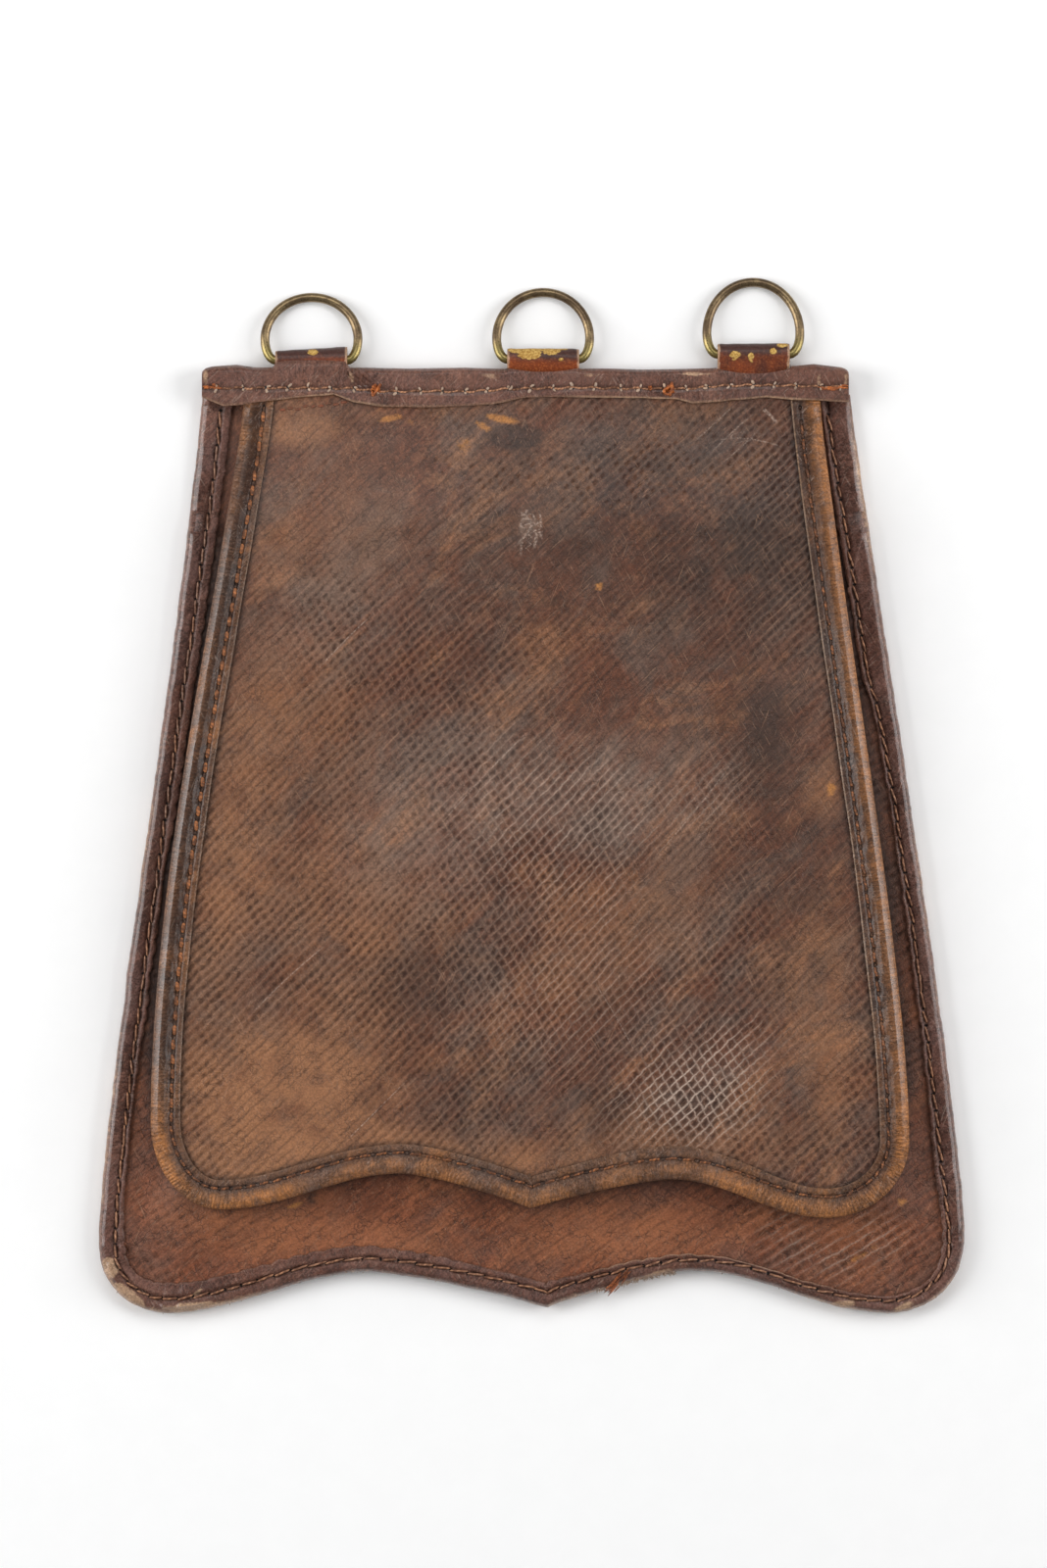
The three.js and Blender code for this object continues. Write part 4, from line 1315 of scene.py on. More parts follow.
class SABRETACHE_OT_pouch_front(Builder):
    """Make the hatched pouch front with its creases"""

    bl_idname = "sabretache.pouch_front"
    bl_label = "Pouch Front"

    def execute(self, context):
        sizes, colours = self.settings(context)
        edge = Edge(BODY, 1.0)
        pitches = hatch_pitches(sizes) * POUCH_COARSER
        lattice = hatch_lattice(edge, MOUTH_Y, POUCH_TURNS, pitches, (2, 2), 7)
        x, y, lines = lattice[:3]
        low = pouch_underside(edge, x, y)
        waves = 0.35 * lumps(x, y, 28, 21) + 0.15 * lumps(x, y, 11, 22)
        waves = waves * smoothstep(edge.depth(x, y), 8, 14)
        faded = cover(POUCH_MARKS, "faded", x, y)
        depth = np.clip(0.42 + 0.4 * lumps(x, y, 16, 23) - 0.35 * faded, 0.1, 1)
        pits = 0.6 * sizes.hatch_depth / MM * depth * (1 - hatch_ridge(lines))
        beside = on_sides(x, y)
        # painted shade: near black under the flap and just outside its edge, more so down the sides
        # and on the left
        painted_shade = 0.5 + 0.3 * beside + 0.12 * on_left(x, y)
        painted_shade = painted_shade * smoothstep(Edge(FLAP, 1.0).depth(x, y), -2.5 - 3.5 * beside, 0.8)
        crossed = 0.35 + 0.65 * smoothstep(-x, 0, 70)
        marks = hatched_marks(lattice, POUCH_MARKS, POUCH_CREASES, depth, painted_shade, crossed)
        material = hatched_leather(
            "pouch_leather", colours, colours.hide("panel"), colours.pit, crest=0.05, crackle=0.5)
        piece = make_sheet(
            "pouch_leather", lattice, low, low + PANEL + waves - pits, material,
            "pouch_front", marks)
        return {"FINISHED"}


class SABRETACHE_OT_flap(Builder):
    """Make the hatched flap with its stains and scuffs"""

    bl_idname = "sabretache.flap"
    bl_label = "Flap"

    def execute(self, context):
        sizes, colours = self.settings(context)
        edge = Edge(FLAP, 1.0)
        top_y = FLAP_HIGH[1] - Y_SHIFT
        pitches = hatch_pitches(sizes)
        lattice = hatch_lattice(edge, top_y, HATCH_TURNS, pitches, (3, 2), 4)
        x, y, lines = lattice[:3]
        faded = cover(FLAP_MARKS, "faded", x, y)
        depth = np.clip(0.74 + 0.35 * lumps(x, y, 34, 5) - 0.8 * faded, 0.05, 1)
        pits = sizes.hatch_depth / MM * depth * (1 - hatch_ridge(lines))
        # painted shade: a dark line on the flap along the flap binding's inner edge
        painted_shade = 0.6 * bell(edge.depth(x, y), FLAP_BAND + 0.2, 0.9)
        net = np.interp(x + 0.3 * y, *FALLING_SHARE.T) + 0.3 * lumps(x, y, 26, 8)
        net = np.maximum(net, cover(FLAP_MARKS, "rubbed", x, y))
        marks = hatched_marks(
            lattice, FLAP_MARKS, FLAP_SCRATCHES, depth, painted_shade, np.clip(net, 0, 1))
        material = hatched_leather(
            "flap_leather", colours, colours.hide("flap"), colours.pale, crest=0.2, crackle=0.3)
        piece = make_sheet(
            "flap_leather", lattice, flap_underside(x, y), flap_top(x, y) - pits, material,
            "flap", marks)
        return {"FINISHED"}


FLAP_STITCH_INSET = 6.8
FLAP_GROOVE = 0.4
BODY_GROOVE = 0.4
STEPS_PER_STITCH = 6
BODY_STEPS_PER_STITCH = 8
STITCH_POINTS = 9
UNDER_TOP = 4.5  # the side bindings run on so far under the top binding
SIDE_X = (40, 85)  # from the middle line, the sides begin and are full here
SIDE_Y = (-118, -80)  # above the lower edge, the sides begin and are full here


def tucked(y):
    """1 where a side binding has run in under the top binding."""
    return smoothstep(y, BAND_TOP_Y - 0.5, BAND_TOP_Y + 2.5)


def flap_band_face(way, inset):
    """Height of the flap binding's face over its flat, by the way round and from the edge in."""
    roll = 0.45 * bell(inset, 3.0, 1.9)
    fall = 0.5 * smoothstep(inset, 3.6, FLAP_STITCH_INSET - 0.4)
    groove = FLAP_GROOVE * bell(inset, FLAP_STITCH_INSET, 0.6)
    ledge = 0.12 * bell(inset, FLAP_STITCH_INSET + 1.6, 0.8)
    drop = 0.3 * smoothstep(inset, FLAP_BAND - 0.45, FLAP_BAND + 0.1)
    waves = 0.14 * lumps(way, inset, 14, 31) + 0.06 * lumps(way, 3 * inset, 2.6, 32)
    waves = waves + 0.16 * lumps(way, 0.2 * inset, 1.5, 34) * smoothstep(inset, 5.4, 2.0)
    return roll - fall - groove + ledge - drop + waves


def on_left(x, y):
    """1 along the left side, 0 along the lower edge and the right side."""
    return smoothstep(-x, *SIDE_X) * smoothstep(y, *SIDE_Y)


def on_sides(x, y):
    """1 along both sides, 0 along the lower edge."""
    return smoothstep(np.abs(x), *SIDE_X) * smoothstep(y, *SIDE_Y)


def flap_edge(sizes):
    """The flap's outline, with steps that fit its stitches."""
    return Edge(FLAP, sizes.flap_stitch / MM / STEPS_PER_STITCH, BAND_TOP_Y + UNDER_TOP)


class SABRETACHE_OT_flap_binding(Builder):
    """Make the flap's binding, with its roll, stitch groove and holes"""

    bl_idname = "sabretache.flap_binding"
    bl_label = "Flap Binding"

    def execute(self, context):
        sizes, colours = self.settings(context)
        edge = flap_edge(sizes)
        way = edge.way
        stations = len(way)
        arch = 1.6 * bell(edge.points[:, 0], 44, 24) * (edge.points[:, 1] < -90)
        width = FLAP_BAND + arch + 0.35 * lumps(way, 0 * way, 30, 33)
        under = tucked(edge.points[:, 1])
        low = np.full(stations, -EDGE_INSET) + 1.0 * under
        high = PANEL + EDGE_INSET - 1.15 * under
        inward, height = binding_section(width, low, high)
        ways = np.repeat(way[:, None], inward.shape[1], 1)
        beat = np.arange(stations) % STEPS_PER_STITCH
        # Stitch holes: sunk into the face, and painted near black inside as shade by the material
        hole = np.interp(beat, (0, 1, 2, STEPS_PER_STITCH - 1), (1, 0.75, 0, 0.75))
        hole = hole * np.where(beat == 0, 1, 0.5 + 0.5 * on_left(*edge.points.T))
        holes = on_face(hole[:, None] * bell(inward, FLAP_STITCH_INSET, 0.6))
        face = flap_band_face(ways, inward) - 0.6 * holes
        face[:, TOP_STOPS:] = 0
        height = height + face * (1 - under[:, None])
        points, faces = sweep(edge.points, edge.inward, inward, height)
        points[:, 2] += flap_underside(points[:, 0], points[:, 1])
        x, y = points[:, 0], points[:, 1]
        rim = rim_share(inward, width)
        sides, left = on_sides(x, y), on_left(x, y)
        roll = on_face(smoothstep(rim, 0.3, 0.7)).ravel()
        brow = on_face(smoothstep(rim, 0.25, 0.4) * smoothstep(rim, 0.85, 0.6)).ravel()
        blotch = smoothstep(lumps(x, y, 5, 37), 0.0, 0.7)
        brow = brow * (0.5 * sides + 0.25 * left + 0.35 * blotch * (1 - sides))
        shine = on_face(0.34 + 0.66 * bell(inward, 2.2, 0.8)).ravel()
        top_end = smoothstep(y, 96, 124)
        right = sides - left
        corner = smoothstep(np.abs(x), 70, 100)
        uneven = np.clip(0.55 + 0.8 * lumps(x, y, 13, 39) + 0.45 * corner, 0.2, 1)
        rubbed = np.clip(1.1 - 0.95 * left - 0.35 * right + 0.7 * top_end * right, 0, 1)
        rubbed = rubbed * (sides + uneven * (1 - sides))
        groove = on_face(bell(inward, FLAP_STITCH_INSET, 0.9)).ravel()
        ledge = smoothstep(inward, FLAP_STITCH_INSET + 0.6, FLAP_STITCH_INSET + 1.2)
        ledge = on_face(ledge).ravel()
        dull = smoothstep(y, 20, 80)
        marks = {
            "edge": on_face(rim, HIDDEN_EDGE).ravel(),
            "way": ways.ravel(),
            "groove": np.maximum(
                (0.3 + 0.4 * sides) * groove, np.maximum((0.12 + 0.25 * right) * ledge, brow)),
            "hole": holes.ravel(),
            "worn": -0.1 - 0.6 * sides,
            "scuff": np.zeros(len(x)),
            # the pale inner cut edge, strongest on the right, partly a painted highlight
            "cut": 0.08 + 0.6 * right + 0.12 * left,
            "polish": (0.1 + (0.9 - 0.5 * dull) * sides) * shine,
            "tan": rubbed * roll + 0.12 * ledge * left + 0.2 * ledge * (1 - sides),
        }
        material = binding_leather(
            "flap_binding_leather", colours, colours.hide("flap_edge"), ribs=0.6)
        make_piece(
            "flap_binding_leather", points, faces, material, "bag",
            ["flap_binding"], marks)
        return {"FINISHED"}


def body_edge(sizes):
    """The body's outline, with steps that fit its stitches."""
    step = sizes.body_stitch / MM / BODY_STEPS_PER_STITCH
    return Edge(BODY, step, BAND_TOP_Y + UNDER_TOP)


# The body binding at each step: its width, stitch line, lower and upper height
Band = namedtuple("Band", "width line low high")


def body_band(edge):
    """The body binding along its outline, drawn in at each stitch hole."""
    way = edge.way
    share, y = way / way[-1], edge.points[:, 1]
    full = np.abs(np.sin(math.pi * way / (edge.step * BODY_STEPS_PER_STITCH)))
    ripple = 0.3 * lumps(way, 0 * way, 22, 41) + 0.2 * lumps(way, 0 * way, 7, 42)
    full = full * np.clip(0.5 + 0.7 * lumps(way, 0 * way, 15, 48), 0, 1)
    width = np.interp(share, *BODY_BAND.T[[0, 1]]) + ripple + 0.7 * full - 0.3
    line = np.interp(share, *BODY_BAND.T[[0, 2]]) + 0.3 * lumps(way, 0 * way, 18, 43)
    under = tucked(y)
    alone = smoothstep(y, MOUTH_Y + 0.6, STEP_TO_Y)
    high = BODY_EDGE_Z - (PANEL + 0.3) * alone - 0.3 * under
    return Band(width, line, 1.2 * under, high)


def lap_height(edge, way, inset):
    """How far laps and tucks lift the body binding, by the way round and from the edge in."""
    lift = np.zeros(np.shape(way))
    for join in BODY_JOINS:
        off = way - edge.way_at(join.x, join.y) - join.slant * inset
        fade = np.exp(-np.clip(off, 0, None) / join.length)
        lift = lift + join.height * smoothstep(off, -0.4, 0.4) * fade
    return lift


class SABRETACHE_OT_body_binding(Builder):
    """Make the body's binding, with its groove, laps and worn edge"""

    bl_idname = "sabretache.body_binding"
    bl_label = "Body Binding"

    def execute(self, context):
        sizes, colours = self.settings(context)
        edge = body_edge(sizes)
        way = edge.way
        band = body_band(edge)
        width, line = band.width, band.line[:, None]
        inward, height = binding_section(width, band.low, band.high)
        ways = np.repeat(way[:, None], inward.shape[1], 1)
        beats = ways / (edge.step * BODY_STEPS_PER_STITCH)
        side = np.where(np.floor(beats) % 2 == 0, 0.5, -0.5)
        groove = bell(inward, line, 0.8)
        crack = bell(inward, line + side, 0.4)
        crack = crack * smoothstep(np.abs(np.sin(math.pi * beats)), 0.2, 0.6)
        lip = bell(inward, line + 1.6, 0.8)
        drop = 0.35 * smoothstep(inward, width[:, None] - 0.5, width[:, None] + 0.1)
        crown = 0.2 * bell(inward, 2.6, 1.4)
        wrinkle = 0.18 * lumps(ways, 1.5 * inward, 4.5, 44) + 0.3 * lumps(ways, inward, 13, 45)
        # Stitch holes: sunk into the face, and painted near black inside as shade by the material
        hole = (np.arange(len(way)) % BODY_STEPS_PER_STITCH == 0)[:, None]
        holes = on_face(hole * bell(inward, line, 0.7))
        face = 0.2 * lip + crown - BODY_GROOVE * groove - 0.3 * crack - drop + wrinkle
        face = face + lap_height(edge, ways, inward) - 0.3 * holes
        face[:, TOP_STOPS:] = 0
        height = height + face
        ragged = 0.3 * lumps(way, 0 * way, 9, 46) + 0.16 * lumps(way, 0 * way, 2.6, 47)
        outline = edge.points + ragged[:, None] * edge.inward
        points, faces = sweep(outline, edge.inward, inward, height)
        x, y = points[:, 0], points[:, 1]
        worn = cover(BODY_BAND_MARKS, "worn", x, y)
        scuff = cover(BODY_BAND_MARKS, "scuff", x, y)
        rim = rim_share(inward, width)
        upper = on_face(np.ones_like(rim)).ravel()
        polish = 0.12 + 0.75 * smoothstep(rim, 0.55, 0.85) + 0.1 * lip
        marks = {
            "edge": on_face(rim, HIDDEN_EDGE).ravel(),
            "way": ways.ravel(),
            "groove": on_face(np.maximum(0.6 * groove, crack)).ravel(),
            "hole": holes.ravel(),
            "worn": np.clip(worn + 0.25, 0, 1),
            "scuff": scuff * upper,
            "cut": 0.06 + 0.5 * smoothstep(x, 15, 30) * smoothstep(x, 110, 80) * (y < -120),
            "polish": polish.ravel() * upper,
            "tan": np.clip(0.35 * worn + 0.25 * on_face(lip).ravel(), 0, 1),
        }
        material = binding_leather(
            "body_binding_leather", colours, colours.hide("binding"), ribs=0.16)
        make_piece(
            "body_binding_leather", points, faces, material, "bag",
            ["body_binding"], marks)
        return {"FINISHED"}


CRUMPLE_X, CRUMPLE_STEP = -64, 2.2  # a few small folds beside the left loop
SWIRL = (98.4, 3.2)  # a ringed crease near the right end: x, depth below the fold
FLAP_END_X = 88  # the flap binding's ends lift the top binding here


def top_band_face(x, drop):
    """Height of the top binding's face, by the place along it and the depth below its fold."""
    line = np.interp(x, *TOP_STITCH_DROP.T)
    bulge = sum(bell(x, ring.x, 10, 4) for ring in RINGS.values())
    bulge = 0.5 * bulge * bell(drop, 3.0, 2.5)
    along = x - CRUMPLE_X
    folds = sum(bell(along - CRUMPLE_STEP * k - 1.2 * drop, 0, 0.6) for k in range(4))
    crumple = 0.75 * folds * bell(drop, 4, 3.2, 4)
    swirl = np.hypot(x - SWIRL[0], drop - SWIRL[1])
    crumple = crumple + 0.2 * np.cos(3.6 * swirl) * bell(swirl, 0, 2.8)
    wrinkle = 0.22 * lumps(x, drop, 9, 51) + 0.14 * lumps(x, drop, 3, 52)
    flap_ends = bell(np.abs(x), FLAP_END_X, 5, 4) * smoothstep(drop, 5, 9)
    swell = bulge + crumple + wrinkle + 0.45 * flap_ends
    return TOP_EDGE_Z - top_dip(x) + swell - 0.35 * bell(drop, line, 0.9)


def on_top_band(x, drop, over):
    """Points so far over the top binding's face."""
    return np.column_stack([x, TOP_Y - drop, top_band_face(x, drop) + over])


class SABRETACHE_OT_top_binding(Builder):
    """Make the top binding, with its slits for the ring loops"""

    bl_idname = "sabretache.top_binding"
    bl_label = "Top Binding"

    STATIONS = 360
    SLIT_LOW = 1.6
    SLIT_SIDE = 0.3

    def execute(self, context):
        _, colours = self.settings(context)
        x = np.linspace(TOP_BAND_HIGH[0], TOP_BAND_LOW[0], self.STATIONS)
        drop = np.interp(x, *TOP_BINDING_DROP.T) + 0.25 * lumps(x, 0 * x, 6, 53)
        inward, height = binding_section(drop, np.zeros(len(x)), np.full(len(x), TOP_EDGE_Z))
        back = slice(TOP_STOPS + BEND_STOPS, TOP_STOPS + BEND_STOPS + BACK_STOPS)
        inward[:, back] *= TOP_BAND / drop[:, None]
        inward[:, back.stop] = TOP_BAND
        xs = np.repeat(x[:, None], inward.shape[1], 1)
        face = top_band_face(xs, inward) - TOP_EDGE_Z
        cut = 0.35 * smoothstep(inward, drop[:, None] - 0.6, drop[:, None] + 0.1)
        on_top = np.arange(inward.shape[1]) < TOP_STOPS
        lift = np.where(on_top, face - cut, face * height / TOP_EDGE_Z)
        lift[:, TOP_STOPS + BEND_STOPS:] = 0
        lift[:, -2:] = face[:, -2:]
        height = height + lift
        rise = np.zeros(len(x))
        for ring in RINGS.values():
            proud = max(0.0, 1.0 - min(ring.lip_end, ring.lip_middle))
            off = np.abs(x - ring.x) - LOOP_WIDTH / 2
            rise = rise + proud * smoothstep(off, 1.2, -1.2)
        near = smoothstep(inward, 6, 0)
        over_bar = near * (height > BAR_Z + WIRE / 2 + 0.3)
        fold = np.interp(x, *TOP_FOLD_RISE.T)[:, None] * near
        spots = np.column_stack([x, np.full(len(x), TOP_Y)])
        down = np.tile((0.0, -1.0), (len(x), 1))
        points, faces = sweep(spots, down, inward, height)
        points[:, 1] += (rise[:, None] * over_bar + fold).ravel()
        material = binding_leather(
            "top_binding_leather", colours, colours.hide("binding"), ribs=0.0)
        piece = make_piece(
            "top_binding_leather", points, faces, material, "bag",
            ["top_binding"])
        self.cut_slits(piece)
        self.add_marks(piece.data)
        return {"FINISHED"}

    def cut_slits(self, piece):
        """Cut a slit with a curved lip for each loop."""
        for ring in RINGS.values():
            half = LOOP_WIDTH / 2 + self.SLIT_SIDE
            across = np.linspace(-half, half, 17)
            bow = 1 - (across / half) ** 2
            lip = TOP_Y - (ring.lip_end + (ring.lip_middle - ring.lip_end) * bow)
            outline = [(ring.x + a, y) for a, y in zip(across, lip)]
            outline += [(ring.x + half, TOP_Y + 20), (ring.x - half, TOP_Y + 20)]
            points = [(a, b, z) for z in (self.SLIT_LOW, 2 * TOP_EDGE_Z) for a, b in outline]
            mesh = bpy.data.meshes.new("slit")
            mesh.from_pydata(placed(points), [], band_faces(2, len(outline)))
            cutter = bpy.data.objects.new("slit", mesh)
            bpy.context.scene.collection.objects.link(cutter)
            change = piece.modifiers.new("slit", "BOOLEAN")
            change.operation = "DIFFERENCE"
            change.solver = "EXACT"
            change.object = cutter
            with bpy.context.temp_override(object=piece, active_object=piece):
                bpy.ops.object.modifier_apply(modifier=change.name)
            bpy.data.objects.remove(cutter)
            bpy.data.meshes.remove(mesh)

    def add_marks(self, mesh):
        """The wear of the binding at each point, for its material."""
        spots = np.empty(3 * len(mesh.vertices))
        mesh.vertices.foreach_get("co", spots)
        x, y, z = spots.reshape(-1, 3).T / MM
        drop = TOP_Y + Y_SHIFT - y
        line = np.interp(x, *TOP_STITCH_DROP.T)
        front = z > BAR_Z
        rim = np.clip(1 - drop / np.interp(x, *TOP_BINDING_DROP.T), 0, 1)
        set_marks(mesh, {
            "edge": np.where(front, 0.9 * rim, HIDDEN_EDGE),
            "way": x,
            "groove": 0.7 * bell(drop, line, 0.8) * front,
            "hole": np.zeros(len(x)),
            "worn": 0.1 + 0.5 * smoothstep(np.abs(x), 92, 106),
            "scuff": cover(TOP_BAND_MARKS, "scuff", x, drop) * front,
            "cut": np.clip(0.35 + 0.5 * lumps(x, drop, 20, 56), 0, 1),
            "polish": np.clip(0.3 + 0.5 * lumps(x, drop, 14, 55), 0, 1) * front,
            "tan": np.clip(0.3 + 0.6 * lumps(x, drop, 16, 54), 0, 1),
        })


def loop_section(outer):
    """A ring loop's section, round the bar at the origin, as y and z: its outer side from the
    front of the tongue round the bar to the back, then its inner side back again."""
    neck = math.atan2(LOOP_LEATHER, -LOOP_NECK)
    touch = neck - math.acos(outer / math.hypot(LOOP_NECK, LOOP_LEATHER))
    split, mouth, turn_in = 0.04, 0.86 * math.pi, 1.2
    tail = np.linspace(LOOP_TONGUE, LOOP_NECK, 8)
    front = [(-y, LOOP_LEATHER) for y in tail]
    bend = [(outer * math.cos(a), outer * math.sin(a)) for a in np.linspace(touch, -touch, 22)]
    back = [(-y, -LOOP_LEATHER) for y in tail[::-1]]
    eye = [
        (LOOP_EYE * math.cos(a), LOOP_EYE * math.sin(a)) for a in np.linspace(-mouth, mouth, 18)
    ]
    inner_back = [(-LOOP_TONGUE, -split), (-LOOP_NECK, -split), (-LOOP_NECK + turn_in, -split)]
    inner_front = [(y, -z) for y, z in inner_back[::-1]]
    return np.array(front + bend + back + inner_back + eye + inner_front)


class SABRETACHE_OT_ring_loops(Builder):
    """Make the three leather loops that hold the rings"""

    bl_idname = "sabretache.ring_loops"
    bl_label = "Ring Loops"

    STATIONS = 44

    def execute(self, context):
        _, colours = self.settings(context)
        material = loop_leather("loop_leather", colours)
        for seed, (place, ring) in enumerate(RINGS.items()):
            share = np.linspace(-1, 1, self.STATIONS)
            sections = []
            for s in share:
                climb = ring.climb * (0.3 * s + 0.1)
                outer = LOOP_OUTER + climb + 0.12 * noise.noise((3 * s, seed, 0.4))
                section = loop_section(outer)
                shrink = 0.35 * smoothstep(abs(s), 0.93, 1.0)
                bumps = 0.08 * lumps(section[:, 0] + 9 * s, section[:, 1], 2.5, seed + 61)
                sections.append((section + bumps[:, None]) * (1 - shrink * 0.12))
            sections = np.array(sections)
            x = ring.x + share * LOOP_WIDTH / 2
            points = np.stack([
                np.repeat(x[:, None], sections.shape[1], 1),
                sections[..., 0] + TOP_Y + ring.rise,
                sections[..., 1] + BAR_Z,
            ], -1).reshape(-1, 3)
            faces = band_faces(self.STATIONS, sections.shape[1])
            flakes = np.zeros(len(points))
            for across, y, half_width, half_height in PAINT_FLAKES[place]:
                flake = Mark("paint", ring.x + across, y, half_width, half_height, 0, 1.0)
                flakes = np.maximum(flakes, patch(flake, points[:, 0], points[:, 1]))
            flakes = flakes * (points[:, 2] > BAR_Z)
            ends = np.repeat(smoothstep(np.abs(share), 0.86, 1.0), sections.shape[1])
            fold_y = TOP_Y + ring.rise + LOOP_OUTER
            # painted shade: dark at the fold, rising below it to the loop's own warmth
            warm = ring.warmth * smoothstep(fold_y - points[:, 1], 0.6, 6.0)
            make_piece(
                f"ring_loop_leather_{place}", points, faces, material, "bag",
                [f"ring_loop_{place}"], {"paint": flakes, "edge": ends, "warm": warm})
        return {"FINISHED"}


def ring_path(height):
    """The middle of a D-ring's wire, with its straight bar along X through the origin."""
    straight = RING_HALF - CORNER_WIDTH
    quarter = np.linspace(0, math.pi / 2, 24)
    side = np.column_stack([
        straight + CORNER_WIDTH * np.sin(quarter), CORNER_HEIGHT * (1 - np.cos(quarter)),
    ])
    sweep_angle = np.linspace(0, math.pi, 90)[1:-1]
    crown = np.column_stack([
        RING_HALF * np.cos(sweep_angle),
        CORNER_HEIGHT + (height - CORNER_HEIGHT) * np.sin(sweep_angle),
    ])
    loop = np.vstack([side, crown, (side * (-1, 1))[::-1], side[:1]])
    path, _ = evenly(loop, 0.7)
    return path[:-1]


class SABRETACHE_OT_d_rings(Builder):
    """Make the three brass D-rings"""

    bl_idname = "sabretache.d_rings"
    bl_label = "D-Rings"

    SIDES = 24

    def execute(self, context):
        _, colours = self.settings(context)
        material = old_brass("old_brass", colours)
        for seed, (place, ring) in enumerate(RINGS.items()):
            flat = ring_path(ring.height)
            path = np.column_stack([flat, np.zeros(len(flat))])
            dents = 0.02 * lumps(flat[:, 0], flat[:, 1], 6, seed + 71)
            radius = WIRE / 2 * (0.99 + dents)
            points, faces = tube(path, radius, radius, self.SIDES, closed=True)
            bright = smoothstep(points[:, 1], 7.5, 1.5)
            lean = -math.asin((BAR_Z - WIRE / 2 - RING_LIFT) / ring.height)
            y = points[:, 1] * math.cos(lean) - points[:, 2] * math.sin(lean)
            z = points[:, 1] * math.sin(lean) + points[:, 2] * math.cos(lean)
            points = np.column_stack([points[:, 0] + ring.x, y + TOP_Y + ring.rise, z + BAR_Z])
            make_piece(
                f"d_ring_brass_{place}", points, faces, material, f"ring_{place}",
                [f"d_ring_{place}"], {"bright": bright}, crisp=60)
        return {"FINISHED"}


def thread_marks(count, sides, length_along, turns, dull=0.0):
    """Marks for a thread's twist, the way along it and the turn around it, and for its dirt."""
    along = np.repeat(np.linspace(0, length_along * turns, count), sides)
    around = np.tile(np.arange(sides) / sides, count)
    return {"along": along, "around": around, "dull": np.full(len(along), dull)}


def stitch(path, wide, high, sides=8, **marks):
    """One stitch along a path, rounded at its ends, with marks that are the same all over it."""
    share = np.linspace(-1, 1, len(path))
    taper = np.sqrt(np.clip(1.02 - share ** 4, 0.05, 1))
    points, faces = tube(path, wide * taper, high * taper, sides)
    even = {label: np.full(len(points), value) for label, value in marks.items()}
    return points, faces, {**thread_marks(len(path), sides, 1.0, 2.5), **even}


def fibre(path, wide, high, shade, sides=8):
    """A shred of raw leather along a path, with its own shade."""
    points, faces, _ = stitch(path, wide, high, sides)
    return points, faces, {"hole": np.full(len(points), shade)}


class SABRETACHE_OT_flap_stitches(Builder):
    """Sew the flap binding"""

    bl_idname = "sabretache.flap_stitches"
    bl_label = "Flap Stitches"

    def execute(self, context):
        sizes, colours = self.settings(context)
        edge = flap_edge(sizes)
        pitch = edge.step * STEPS_PER_STITCH
        half_wide = sizes.thread / MM * 0.64
        random = np.random.default_rng(11)
        share = np.linspace(-1, 1, STITCH_POINTS)
        rows = []
        for k in range(1, int(edge.way[-1] / pitch) - 1):
            way = np.linspace((k + 0.15) * pitch, (k + 0.85) * pitch, STITCH_POINTS)
            left = float(on_left(*edge.spot(way[STITCH_POINTS // 2], 0)))
            slant = 0.16 + 0.1 * random.standard_normal()
            inset = FLAP_STITCH_INSET + slant * share + 0.08 * random.standard_normal()
            x, y = edge.spot(way, inset)
            under = flap_underside(x, y)
            bow = 0.75 * (1 - share ** 6) - 0.63 + 0.08 * left + 0.05 * random.standard_normal()
            face = flap_band_face(way, inset) + bow
            thick = half_wide * (0.66 + 0.34 * left)
            front = np.column_stack([x, y, under + PANEL + EDGE_INSET + face])
            back = np.column_stack([x, y, under - EDGE_INSET + 0.1])
            for path, high in ((front, 0.42), (back, 0.25)):
                rows.append(stitch(path, thick, high, dull=0.2 * (1 - left)))
        thread = waxed_thread(
            "gold_thread", colours, colours.gold_thread, colours.gold_thread_dark)
        make_joined("flap_stitches", rows, thread)
        return {"FINISHED"}


class SABRETACHE_OT_body_stitches(Builder):
    """Sew the body binding by hand, with slanting stitches"""

    bl_idname = "sabretache.body_stitches"
    bl_label = "Body Stitches"

    def execute(self, context):
        sizes, colours = self.settings(context)
        edge = body_edge(sizes)
        band = body_band(edge)
        pitch = edge.step * BODY_STEPS_PER_STITCH
        half_wide = sizes.thread / MM * 0.34
        random = np.random.default_rng(12)
        share = np.linspace(-1, 1, STITCH_POINTS)
        bow = 0.62 * (1 - share ** 4) - 0.22
        rows = []
        for k in range(1, int(edge.way[-1] / pitch) - 1):
            reach = 0.5 + 0.05 * random.standard_normal()
            way = (k + 0.5 + reach * share) * pitch
            slant = 0.35 + 0.2 * random.standard_normal()
            inset = np.interp(way, edge.way, band.line) + slant * share
            x, y = edge.spot(way, inset)
            face = np.interp(way, edge.way, band.high) + lap_height(edge, way, inset) - BODY_GROOVE
            left = float(smoothstep(-x.mean(), -60, 90) * smoothstep(y.mean(), -120, -20))
            bleached = (0.35 + 0.6 * left) * random.random()
            front = np.column_stack([x, y, face + bow])
            rows.append(stitch(front, half_wide, 0.36, bleached=bleached))
            back = np.column_stack([x, y, np.interp(way, edge.way, band.low) + 0.16])
            rows.append(stitch(back, half_wide, 0.16, bleached=0.0))
        thread = waxed_thread(
            "brown_thread", colours, colours.brown_thread, colours.brown_thread_dark)
        make_joined("body_stitches", rows, thread)
        return {"FINISHED"}


